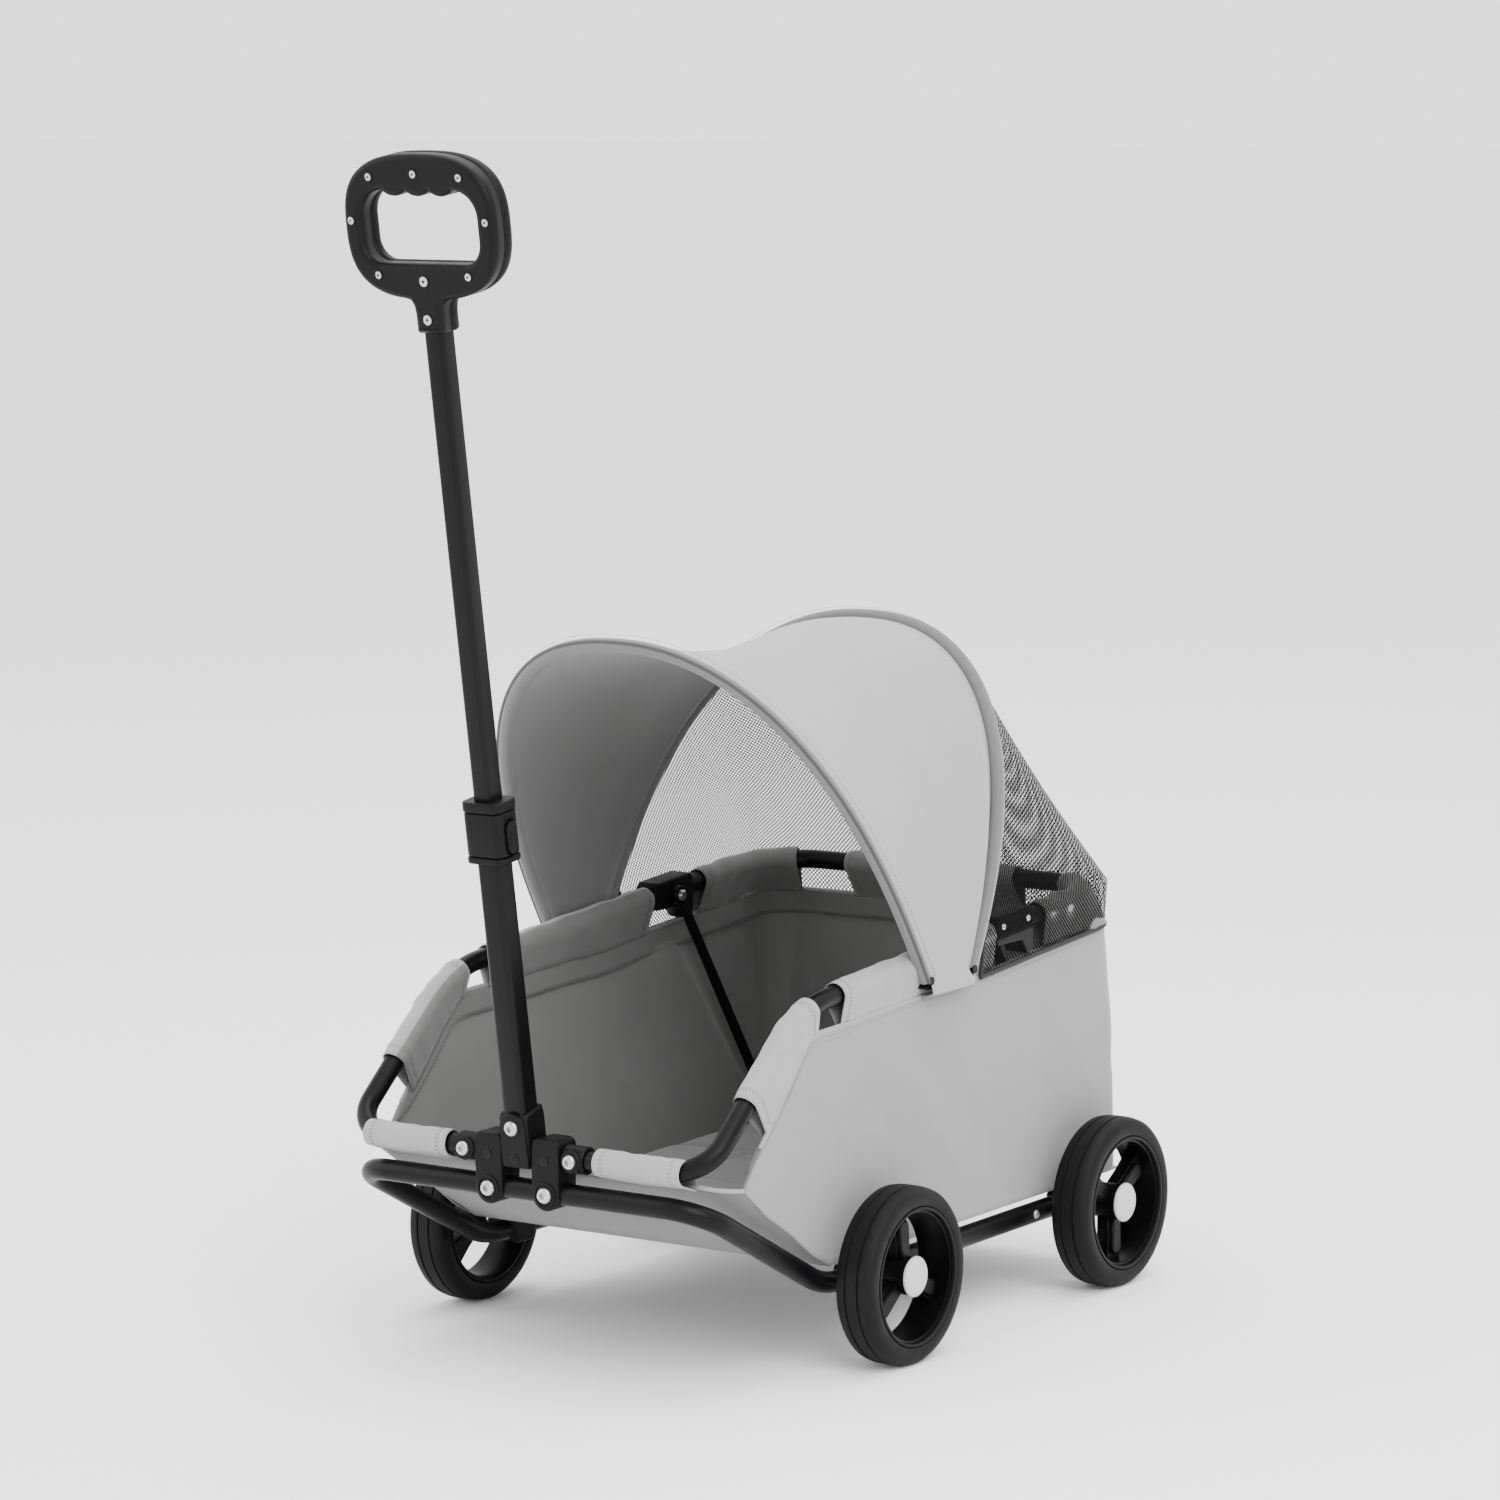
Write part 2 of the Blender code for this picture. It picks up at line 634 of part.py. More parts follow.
def build_clamp(parts, cutters, plastic):
    y, z = HINGE
    low, high = CLAMP_SPAN
    corners = [(-18, y - 14), (18, y - 14), (18, y + 14), (-18, y + 14)]
    body = fillet_2d(corners, [7] * 4, 4)
    clamp = slab("clamp_collar", [body], (z + low, z + high), "Z", plastic, parts)
    wide = square_ring(OUTER_SIDE + 2 * GAP, 5.0, TUBE_WALL)[:1]
    narrow = square_ring(INNER_SIDE + 2 * GAP, 4.4, TUBE_WALL)[:1]
    below = slab("clamp_bore_low", wide, (z + low - 5, z + OUTER_SPAN[1] + GAP), "Z", None, cutters)
    above = slab("clamp_bore_high", narrow, (z + low, z + high + 5), "Z", None, cutters)
    middle = z + low + 18
    oval = fillet_2d(
        [(y - 6.5, middle - 15), (y + 6.5, middle - 15), (y + 6.5, middle + 15), (y - 6.5, middle + 15)],
        [6.0] * 4,
        4,
    )
    pocket = slab("clamp_pocket", [oval], (14.5, 30), "X", None, cutters)
    for cutter in (below, above, pocket):
        cut(clamp, cutter)
    small = fillet_2d(
        [(y - 6, middle - 14.5), (y + 6, middle - 14.5), (y + 6, middle + 14.5), (y - 6, middle + 14.5)],
        [5.5] * 4,
        4,
    )
    button = slab("latch_button", [small], (17.3, 20.6), "X", plastic, parts)
    return clamp, bevelled(button, 0.8)


def grip_outline():
    """Outer edge of the ring and its neck, as (x, height above the hinge)."""
    wide, tall = GRIP_HALF
    ring = []
    for k in range(40):
        t = -math.pi / 2 + 2 * math.pi * (k + 0.5) / 40
        across, rise = math.cos(t), math.sin(t)
        x = wide * math.copysign(abs(across) ** 0.72, across)
        ring.append((x, GRIP_CENTRE + tall * math.copysign(abs(rise) ** 0.72, rise)))
    neck = 12.0
    ring = [p for p in ring if abs(p[0]) > neck + 4 or p[1] > GRIP_CENTRE]
    return ring + [(-neck, NECK_BOTTOM + 20), (-neck, NECK_BOTTOM), (neck, NECK_BOTTOM), (neck, NECK_BOTTOM + 20)]


def grip_hole():
    """Hand opening with three finger bumps along its top edge."""
    wide, tall = GRIP_HOLE_HALF
    corners = [(-wide, -tall), (wide, -tall), (wide, tall), (-wide, tall)]
    radii = [16, 16, 20, 20]
    path = fillet_2d(corners, radii, 5)
    top = [p for p in path if p[1] > tall - 0.01 or p[1] < tall - 1e-3]
    outline = []
    for x, v in top:
        outline.append((x, v))
        if abs(v - tall) < 1e-3 and x > 0:
            for k in range(1, 24):
                u = x - 2 * x * k / 24
                outline.append((u, tall - 2.6 * (0.5 - 0.5 * math.cos(math.pi * 3 * (u / x + 1)))))
    return [(x, GRIP_CENTRE + v) for x, v in outline]


def build_grip(parts, cutters, plastic):
    y, z = HINGE
    half = GRIP_DEPTH / 2
    outlines = [[(u, v + z) for u, v in shape] for shape in (grip_outline(), grip_hole())]
    shells = []
    for name, span in (("grip_front", (y - half, y - GAP / 2)), ("grip_rear", (y + GAP / 2, y + half))):
        shell = slab(name, outlines, span, "Y", plastic, parts)
        socket = slab(
            f"{name}_socket",
            square_ring(INNER_SIDE + 2 * GAP, 4.4, TUBE_WALL)[:1],
            (z + NECK_BOTTOM - 5, z + INNER_SPAN[1] + GAP),
            "Z",
            None,
            cutters,
        )
        cut(shell, socket)
        shells.append(shell)
    return shells


def build_wheel(end, side, sign, y, parts, cutters, rubber, plastic, pale):
    name = f"{end}_{side}"
    centre = (sign * TRACK_HALF, y, WHEEL_R)
    half = TYRE_HALF
    tyre = [(half - 6, WHEEL_R), (half, WHEEL_R - 5), (half, RIM_R + GAP), (-half, RIM_R + GAP)]
    tyre += [(-half, WHEEL_R - 5), (-half + 6, WHEEL_R)]
    turned(f"tyre_{name}", tyre, centre, rubber, parts, 48)
    lip = [(half, RIM_R), (half, RIM_R - 5), (-half, RIM_R - 5), (-half, RIM_R)]
    rim = turned(f"rim_{name}", lip, centre, plastic, parts, 48)
    hub = rod(
        f"rim_hub_{name}",
        (sign * 186.0, y, WHEEL_R),
        (sign * (TRACK_HALF + 12.0), y, WHEEL_R),
        15.0,
        None,
        cutters,
        28,
    )
    cut(rim, hub, "UNION")
    for k in range(3):
        angle = math.radians(90 + 120 * k)
        across = Vector((-math.sin(angle), math.cos(angle)))
        out = Vector((math.cos(angle), math.sin(angle)))
        spoke = []
        for reach, wide in ((8.0, 11.0), (RIM_R - 3.0, 15.0)):
            spoke.append(((out * reach + across * wide), (out * reach - across * wide)))
        outline = [spoke[0][0], spoke[0][1], spoke[1][1], spoke[1][0]]
        outline = [(y + p.x, WHEEL_R + p.y) for p in outline]
        span = sorted((sign * (TRACK_HALF - 7.0), sign * (TRACK_HALF + 5.0)))
        cut(rim, slab(f"rim_spoke_{name}_{k}", [outline], span, "X", None, cutters), "UNION")
    bore = rod(
        f"rim_bore_{name}",
        (sign * 180.0, y, WHEEL_R),
        (sign * 221.0, y, WHEEL_R),
        AXLE_R + 0.4,
        None,
        cutters,
        24,
    )
    cut(rim, bore)
    face = TRACK_HALF + 12.0 + GAP
    cap = rod(
        f"hub_cap_{name}",
        (sign * face, y, WHEEL_R),
        (sign * (TRACK_HALF + 16.7), y, WHEEL_R),
        CAP_R,
        pale,
        parts,
        32,
    )
    bevelled(cap, 2.2, 3)


def main():
    clear_scene()
    parts = collection("pet_stroller")
    cutters = collection("cutters")
    paint = material("black_paint", (0.012, 0.012, 0.013), 0.38, 0.2)
    plastic = material("black_plastic", (0.018, 0.018, 0.02), 0.5)
    rubber = material("tyre_rubber", (0.015, 0.015, 0.016), 0.7)
    steel = material("bolt_steel", (0.62, 0.62, 0.62), 0.3, 1.0)
    pale = material("hub_cap_grey", (0.72, 0.72, 0.71), 0.45)
    cloth = material("grey_cloth", (0.47, 0.47, 0.47), 0.85)
    light_cloth = material("canopy_cloth", (0.6, 0.6, 0.6), 0.8)
    lining = material("lining_cloth", (0.17, 0.175, 0.17), 0.85)
    mesh_cloth = material("mesh_cloth", (0.03, 0.03, 0.03), 0.8)

    build_chassis(parts, cutters, paint, plastic, steel)
    build_upper_frame(parts, cutters, paint, plastic, steel)
    build_bow("front_bow", FRONT_BOW, parts, cutters, paint)
    build_bow("rear_bow", REAR_BOW, parts, cutters, paint)
    build_canopy(parts, light_cloth)
    build_screen(parts, mesh_cloth)
    build_basket(parts, cloth, lining)
    build_handle(parts, cutters, paint, plastic, steel)
    for side, sign in (("left", -1), ("right", 1)):
        build_stay(side, sign, parts, cutters, paint)
        for end, y in (("front", 0.0), ("rear", REAR_AXLE_Y)):
            build_wheel(end, side, sign, y, parts, cutters, rubber, plastic, pale)


main()
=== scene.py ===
"""Looks of the pull-along pet stroller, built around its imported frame.

Design lengths are millimetres: X to the right, Y back from the front axle, Z up from the ground. at() turns
them into metres in the frame's own axes. Each sub-assembly is a class that builds its pieces, dresses them in
a finish and hands them to the body they move with.
"""

import logging
import math
from dataclasses import dataclass, field
from enum import Enum
from typing import Callable, Iterable, Sequence

import bmesh
import bpy
import numpy as np
from mathutils import Matrix, Vector


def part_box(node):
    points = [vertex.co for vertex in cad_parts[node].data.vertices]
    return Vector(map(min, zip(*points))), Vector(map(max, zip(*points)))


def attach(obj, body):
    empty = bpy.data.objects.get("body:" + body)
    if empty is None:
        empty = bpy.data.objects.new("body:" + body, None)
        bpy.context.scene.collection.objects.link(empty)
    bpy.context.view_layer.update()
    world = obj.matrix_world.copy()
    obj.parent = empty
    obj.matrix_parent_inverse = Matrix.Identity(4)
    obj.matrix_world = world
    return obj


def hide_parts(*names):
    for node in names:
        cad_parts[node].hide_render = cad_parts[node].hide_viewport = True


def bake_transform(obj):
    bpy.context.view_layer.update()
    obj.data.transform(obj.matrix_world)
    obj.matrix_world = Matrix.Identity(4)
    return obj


LOG = logging.getLogger("pet_stroller")
MM = 0.001
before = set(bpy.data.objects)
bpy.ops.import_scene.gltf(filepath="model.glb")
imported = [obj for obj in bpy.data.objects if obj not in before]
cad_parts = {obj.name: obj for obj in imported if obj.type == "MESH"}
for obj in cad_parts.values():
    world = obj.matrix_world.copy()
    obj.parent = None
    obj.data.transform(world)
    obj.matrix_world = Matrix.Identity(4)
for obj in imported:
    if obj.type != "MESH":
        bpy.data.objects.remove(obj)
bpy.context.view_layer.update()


class Body(Enum):
    """The moving groups of the frame."""

    CHASSIS = "chassis"
    UPPER = "upper_frame"
    CANOPY = "canopy_front"
    POLE = "pole"
    LATCH = "latch"
    HANDLE = "handle"


class Slot(Enum):
    """Names of material slots."""

    TUBE = "black_tube"
    BAR = "black_steel"
    PLASTIC = "black_plastic"
    BOLT = "bolt_steel"
    RUBBER = "tyre_rubber"
    CAP = "hub_cap_grey"
    BASKET = "basket_cloth"
    CANOPY = "canopy_cloth"
    LINING = "lining_cloth"
    NET = "mesh_cloth"


def box_mm(node: str) -> tuple[np.ndarray, np.ndarray]:
    """Gives a CAD node's lowest and highest corners, in millimetres, in the frame's axes."""
    low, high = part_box(node)
    return np.array(low) / MM, np.array(high) / MM


AXLE_Y = float(np.mean([corner[1] for corner in box_mm("axle_front_right")]))


def at(x: float, y: float, z: float) -> np.ndarray:
    """Turns a design point into metres in the frame's axes."""
    return np.array([x, y + AXLE_Y, z]) * MM


def corners(node: str) -> tuple[np.ndarray, np.ndarray]:
    """Gives a CAD node's lowest and highest corners as design points."""
    low, high = box_mm(node)
    shift = np.array([0.0, AXLE_Y, 0.0])
    return low - shift, high - shift


# ---------------------------------------------------------------- finishes


class Shader:
    """A material under construction, with short ways to add and join nodes."""

    def __init__(self, name: str) -> None:
        """Starts a material that holds only a Principled shader."""
        self.material = bpy.data.materials.new(name)
        self.material.use_nodes = True
        self.tree = self.material.node_tree
        self.surface = self.tree.nodes["Principled BSDF"]

    def node(self, kind: str, values: dict | None = None, **settings: object) -> bpy.types.Node:
        """Adds a node.

        Args:
            kind: The node's type, without its ShaderNode prefix.
            values: Socket name to a number or colour, or to another socket to join.
            **settings: Properties set on the node itself.

        Returns:
            The new node.
        """
        made = self.tree.nodes.new("ShaderNode" + kind)
        for key, value in settings.items():
            setattr(made, key, value)
        for key, value in (values or {}).items():
            self.feed(made, key, value)
        return made

    def feed(self, node: bpy.types.Node, socket: str | int, value: object) -> None:
        """Sets a socket, or joins another node's output socket to it."""
        if isinstance(value, bpy.types.NodeSocket):
            self.tree.links.new(value, node.inputs[socket])
        else:
            node.inputs[socket].default_value = value

    def noise(self, where: bpy.types.NodeSocket, scale: float, detail: float = 3.0) -> bpy.types.NodeSocket:
        """Adds a noise texture and gives its value."""
        return self.node("TexNoise", {"Vector": where, "Scale": scale, "Detail": detail}).outputs["Fac"]

    def spread(self, value: bpy.types.NodeSocket, low: float, high: float) -> bpy.types.NodeSocket:
        """Maps the middle of a noise's range on to low and high."""
        sockets = {"Value": value, "From Min": 0.3, "From Max": 0.7, "To Min": low, "To Max": high}
        return self.node("MapRange", sockets).outputs["Result"]

    def shade(self, value: bpy.types.NodeSocket, colour: Sequence[float], swing: float) -> bpy.types.NodeSocket:
        """Gives a colour that swings darker and lighter with a value."""
        ramp = self.node("ValToRGB", {"Fac": value})
        for stop, place, gain in zip(ramp.color_ramp.elements, (0.3, 0.7), (1 - swing, 1 + swing)):
            stop.position = place
            stop.color = (*(min(c * gain, 1.0) for c in colour), 1.0)
        return ramp.outputs["Color"]

    def bump(
        self, height: bpy.types.NodeSocket, strength: float, distance: float, under: bpy.types.NodeSocket | None = None
    ) -> bpy.types.NodeSocket:
        """Adds a bump over another one, and gives its normal."""
        values = {"Height": height, "Strength": strength, "Distance": distance}
        if under is not None:
            values["Normal"] = under
        return self.node("Bump", values).outputs["Normal"]


@dataclass(frozen=True)
class HardFinish:
    """A painted, moulded or plated surface: fine grain, uneven gloss and a slight change of tone."""

    name: str
    colour: tuple[float, float, float]
    roughness: float
    metallic: float = 0.0
    grain: float = 900.0
    grain_depth: float = 0.00003
    swing: float = 0.12
    gloss: float = 0.5

    def material(self) -> bpy.types.Material:
        """Builds the material, or gives the one already built."""
        known = bpy.data.materials.get(self.name)
        if known:
            return known
        shader = Shader(self.name)
        where = shader.node("TexCoord").outputs["Object"]
        broad = shader.noise(where, 30.0)
        fine = shader.noise(where, self.grain, 2.0)
        shader.feed(shader.surface, "Base Color", shader.shade(broad, self.colour, self.swing))
        gloss = shader.spread(broad, self.roughness - 0.05, self.roughness + 0.07)
        shader.feed(shader.surface, "Roughness", gloss)
        shader.feed(shader.surface, "Metallic", self.metallic)
        shader.feed(shader.surface, "Specular IOR Level", self.gloss)
        shader.feed(shader.surface, "Normal", shader.bump(fine, 0.5, self.grain_depth))
        return shader.material


@dataclass(frozen=True)
class WovenFinish:
    """Coated plain-weave cloth. Its threads follow the piece's own UV map, which is in metres."""

    name: str
    colour: tuple[float, float, float]
    thread: float = 0.0009
    roughness: float = 0.82
    sheen: float = 0.25
    weave_depth: float = 0.00012
    crease_depth: float = 0.0022
    crease_size: float = 9.0
    swing: float = 0.05

    def material(self) -> bpy.types.Material:
        """Builds the material, or gives the one already built."""
        known = bpy.data.materials.get(self.name)
        if known:
            return known
        shader = Shader(self.name)
        coordinates = shader.node("TexCoord")
        threads = []
        for direction in ("X", "Y"):
            wave = shader.node(
                "TexWave",
                {"Vector": coordinates.outputs["UV"], "Scale": math.pi / (10 * self.thread), "Distortion": 0.6},
                bands_direction=direction,
            )
            threads.append(wave.outputs["Fac"])
        weave = shader.node("Math", {0: threads[0], 1: threads[1]}, operation="MULTIPLY").outputs["Value"]
        cloudy = shader.noise(coordinates.outputs["Object"], 22.0, 4.0)
        slub = shader.noise(coordinates.outputs["UV"], 420.0, 2.0)
        tone = shader.node("Math", {0: cloudy, 1: slub}, operation="ADD").outputs["Value"]
        half = shader.node("Math", {0: tone, 1: 0.5}, operation="MULTIPLY").outputs["Value"]
        shader.feed(shader.surface, "Base Color", shader.shade(half, self.colour, self.swing))
        shader.feed(shader.surface, "Roughness", shader.spread(slub, self.roughness - 0.05, self.roughness + 0.05))
        shader.feed(shader.surface, "Sheen Weight", self.sheen)
        shader.feed(shader.surface, "Sheen Roughness", 0.5)
        creases = shader.noise(coordinates.outputs["Object"], self.crease_size, 3.0)
        soft = shader.bump(creases, 0.35, self.crease_depth)
        shader.feed(shader.surface, "Normal", shader.bump(weave, 0.6, self.weave_depth, soft))
        return shader.material


POWDER_COAT = HardFinish("satin_black_powder_coat", (0.0025, 0.0025, 0.003), 0.34, grain=1500.0, gloss=0.12)
BLACK_MOULDING = HardFinish(
    "grained_black_moulding", (0.003, 0.003, 0.0032), 0.46, grain=2200.0, grain_depth=0.00005, gloss=0.11
)
WHEEL_MOULDING = HardFinish("wheel_black_moulding", (0.002, 0.002, 0.0022), 0.38, grain=1800.0, gloss=0.09)
TYRE_RUBBER = HardFinish(
    "matt_tyre_rubber", (0.0035, 0.0035, 0.0035), 0.58, grain=1300.0, grain_depth=0.00008, swing=0.2, gloss=0.13
)
ZINC_PLATE = HardFinish("bright_zinc_plate", (0.45, 0.45, 0.44), 0.28, metallic=1.0, grain=700.0)
DARK_STEEL = HardFinish("blackened_steel", (0.01, 0.01, 0.01), 0.4, metallic=0.8)
CAP_MOULDING = HardFinish("pale_cap_moulding", (0.47, 0.47, 0.465), 0.42, grain=1600.0, swing=0.03)
BASKET_WEAVE = WovenFinish("basket_grey_weave", (0.2, 0.2, 0.198))
# Painted shade: the slope's outer cloth is darker than the wall's, to stand in for the shade on its downward face.
SLOPE_PAINTED_SHADE_WEAVE = WovenFinish("slope_painted_shade_weave", (0.1, 0.101, 0.1))
CANOPY_WEAVE = WovenFinish("canopy_light_weave", (0.27, 0.27, 0.268), crease_depth=0.0016)
SLEEVE_WEAVE = WovenFinish("sleeve_light_weave", (0.25, 0.25, 0.25), crease_depth=0.0012, crease_size=30.0)
LINING_WEAVE = WovenFinish("lining_grey_weave", (0.145, 0.149, 0.143))
CANOPY_LINING_WEAVE = WovenFinish("canopy_lining_weave", (0.115, 0.116, 0.114), crease_depth=0.0014)
# Dark cloth of the rim hem. On the sleeves the same colour is painted shade.
DARK_HEM_AND_PAINTED_SLEEVE_SHADE = WovenFinish("rim_hem_and_painted_sleeve_shade_weave", (0.115, 0.117, 0.113), crease_size=25.0)
MAT_WEAVE = WovenFinish("mat_grey_weave", (0.15, 0.153, 0.15), crease_size=20.0)
DARK_WEAVE = WovenFinish("dark_sleeve_weave", (0.06, 0.061, 0.06), crease_size=25.0)
DARK_BINDING = WovenFinish("front_binding_tape", (0.035, 0.035, 0.035), thread=0.0006, crease_depth=0.0004)
BINDING_TAPE = WovenFinish("grey_binding_tape", (0.105, 0.105, 0.105), thread=0.0006, crease_depth=0.0004)
PALE_TAPE = WovenFinish("pale_binding_tape", (0.25, 0.25, 0.25), thread=0.0006, crease_depth=0.0004)
BLACK_TAPE = WovenFinish("black_binding_tape", (0.006, 0.006, 0.006), thread=0.0006, crease_depth=0.0004, sheen=0.03)
NET_YARN = HardFinish("black_net_yarn", (0.002, 0.002, 0.002), 0.85, grain=3000.0, gloss=0.05)
SEAM_THREAD = HardFinish("grey_seam_thread", (0.11, 0.11, 0.11), 0.75, grain=4000.0)
FAINT_THREAD = HardFinish("lining_seam_thread", (0.07, 0.072, 0.07), 0.75, grain=4000.0)


# ---------------------------------------------------------------- paths and meshes


def fillet(
    points: Sequence[Sequence[float]], radii: Sequence[float], closed: bool = False, steps: int = 8
) -> np.ndarray:
    """Rounds the corners of a path by circular arcs.

    Args:
        points: The corners.
        radii: A radius for each corner; 0 leaves it sharp.
        closed: Whether the last corner joins the first.
        steps: Chords in each arc.

    Returns:
        The path's points, one row each.
    """
    turns = [Vector(p) for p in points]
    count = len(turns)
    path: list[Vector] = []
    for i, corner in enumerate(turns):
        if (not closed and i in (0, count - 1)) or radii[i] <= 0:
            path.append(corner)
            continue
        before = (turns[i - 1] - corner).normalized()
        after = (turns[(i + 1) % count] - corner).normalized()
        half = before.angle(after) / 2
        reach = radii[i] / math.tan(half)
        centre = corner + (before + after).normalized() * (radii[i] / math.sin(half))
        start = (corner + before * reach - centre).normalized()
        end = (corner + after * reach - centre).normalized()
        path += [centre + start.slerp(end, k / steps) * radii[i] for k in range(steps + 1)]
    return np.array([tuple(p) for p in path])


def fillet_flat(points: Sequence[Sequence[float]], radius: float | Sequence[float], steps: int = 6) -> np.ndarray:
    """Rounds the corners of a flat closed outline."""
    radii = [radius] * len(points) if isinstance(radius, (int, float)) else radius
    return fillet([(x, y, 0.0) for x, y in points], radii, True, steps)[:, :2]


def circle(cx: float, cy: float, radius: float, steps: int = 48) -> np.ndarray:
    """Gives a flat circle's points."""
    turn = np.linspace(0, 2 * math.pi, steps, endpoint=False)
    return np.stack([cx + radius * np.cos(turn), cy + radius * np.sin(turn)], 1)


def resample(path: np.ndarray, count: int) -> np.ndarray:
    """Spaces count points evenly along an open path."""
    steps = np.r_[0, np.cumsum(np.linalg.norm(np.diff(path, axis=0), axis=1))]
    wanted = np.linspace(0, steps[-1], count)
    return np.stack([np.interp(wanted, steps, path[:, k]) for k in range(path.shape[1])], 1)


def ripple(points: np.ndarray, wavelength: float, seed: int) -> np.ndarray:
    """Gives a smooth random height between about -1 and 1 at each point.

    Args:
        points: Points in metres, in the last axis.
        wavelength: Typical length of a wave, in metres.
        seed: Chooses the pattern.

    Returns:
        One height for each point.
    """
    chance = np.random.default_rng(seed)
    total = np.zeros(points.shape[:-1])
    for _ in range(9):
        direction = chance.normal(size=3)
        direction *= 2 * math.pi / (np.linalg.norm(direction) * wavelength * chance.uniform(0.7, 1.7))
        total += np.sin(points @ direction + chance.uniform(0, 2 * math.pi))
    return total / 3.0


def normals_of(grid: np.ndarray) -> np.ndarray:
    """Gives the unit normals of a grid of points, whose columns and rows turn anticlockwise seen from outside."""
    across = np.gradient(grid, axis=1)
    along = np.gradient(grid, axis=0)
    normal = np.cross(across, along)
    return normal / np.maximum(np.linalg.norm(normal, axis=2, keepdims=True), 1e-12)


def mirrored(grid: np.ndarray) -> np.ndarray:
    """Mirrors a grid left to right and keeps its outside outside."""
    return (grid * np.array([-1.0, 1.0, 1.0]))[:, ::-1]


def sided(grid: np.ndarray, sign: int) -> np.ndarray:
    """Gives a grid built for the right side, or its mirror image for the left."""
    return grid if sign > 0 else mirrored(grid)


def finish_mesh(
    name: str, mesh: bpy.types.Mesh, finish: HardFinish | WovenFinish, sharp: float = 35.0
) -> bpy.types.Object:
    """Makes an object of a mesh, smooth except across sharp edges, in its finish."""
    mesh.polygons.foreach_set("use_smooth", np.ones(len(mesh.polygons), bool))
    mesh.set_sharp_from_angle(angle=math.radians(sharp))
    mesh.materials.clear()
    mesh.materials.append(finish.material())
    made = bpy.data.objects.new(name, mesh)
    bpy.context.scene.collection.objects.link(made)
    return made


def surface(
    name: str,
    grid: np.ndarray,
    finish: HardFinish | WovenFinish,
    ring: bool = False,
    loop: bool = False,
    ends: bool = False,
    sharp: float = 35.0,
) -> bpy.types.Object:
    """Skins a grid of points in metres, with a UV map in metres.

    Args:
        name: The piece's name.
        grid: Rows by columns by three.
        finish: What the piece is made of.
        ring: Whether the last column joins the first.
        loop: Whether the last row joins the first.
        ends: Whether the first and last rows are closed by a face.
        sharp: Edges over this many degrees stay sharp.

    Returns:
        The piece.
    """
    rows, cols = grid.shape[:2]
    across = np.linalg.norm(np.roll(grid, -1, 1) - grid, axis=2)
    along = np.linalg.norm(np.roll(grid, -1, 0) - grid, axis=2)
    u = np.concatenate([np.zeros((rows, 1)), np.cumsum(across, 1)], 1)
    v = np.concatenate([np.zeros((1, cols)), np.cumsum(along, 0)], 0)
    u -= u[:, cols // 2 : cols // 2 + 1]
    faces, layout = [], []
    for r in range(rows if loop else rows - 1):
        for c in range(cols if ring else cols - 1):
            after, beside = (r + 1) % rows, (c + 1) % cols
            faces.append((r * cols + c, r * cols + beside, after * cols + beside, after * cols + c))
            low, high = u[r], u[after]
            layout += [(low[c], v[r, c]), (low[c + 1], v[r, beside])]
            layout += [(high[c + 1], v[r + 1, beside]), (high[c], v[r + 1, c])]
    if ends:
        first = list(range(cols))
        faces += [tuple(reversed(first)), tuple(k + (rows - 1) * cols for k in first)]
        layout += [(0.0, 0.0)] * (2 * cols)
    mesh = bpy.data.meshes.new(name)
    mesh.from_pydata(grid.reshape(-1, 3).tolist(), [], faces)
    mesh.uv_layers.new(name="UVMap").data.foreach_set("uv", np.array(layout, np.float32).ravel())
    return finish_mesh(name, mesh, finish, sharp)


def baked(piece: bpy.types.Object) -> bpy.types.Object:
    """Applies a piece's modifiers and makes a curve a mesh."""
    graph = bpy.context.evaluated_depsgraph_get()
    mesh = bpy.data.meshes.new_from_object(piece.evaluated_get(graph), preserve_all_data_layers=True, depsgraph=graph)
    if piece.type == "MESH":
        piece.modifiers.clear()
        piece.data = mesh
        return piece
    name = piece.name
    bpy.data.objects.remove(piece)
    made = bpy.data.objects.new(name, mesh)
    bpy.context.scene.collection.objects.link(made)
    return made


def cloth(
    name: str, grid: np.ndarray, finish: WovenFinish, thick: float = 1.0, inward: bool = False, **closing: bool
) -> bpy.types.Object:
    """Skins a grid and gives it a cloth's thickness, grown outward or inward from the grid."""
    piece = surface(name, grid, finish, **closing)
    wall = piece.modifiers.new("thickness", "SOLIDIFY")
    wall.thickness = thick * MM
    wall.offset = -1.0 if inward else 1.0
    return baked(piece)


def frames_along(path: np.ndarray, closed: bool) -> tuple[np.ndarray, np.ndarray]:
    """Gives two unit directions square to a path at each point, which turn with it and don't twist."""
    if closed:
        tangent = np.roll(path, -1, 0) - np.roll(path, 1, 0)
    else:
        tangent = np.gradient(path, axis=0)
    tangent /= np.linalg.norm(tangent, axis=1, keepdims=True)
    helper = np.array([0.0, 0.0, 1.0]) if abs(tangent[0][2]) < 0.9 else np.array([1.0, 0.0, 0.0])
    side = np.cross(tangent[0], helper)
    sides = [side / np.linalg.norm(side)]
    for direction in tangent[1:]:
        carried = sides[-1] - direction * (sides[-1] @ direction)
        sides.append(carried / np.linalg.norm(carried))
    first = np.array(sides)
    return first, np.cross(tangent, first)


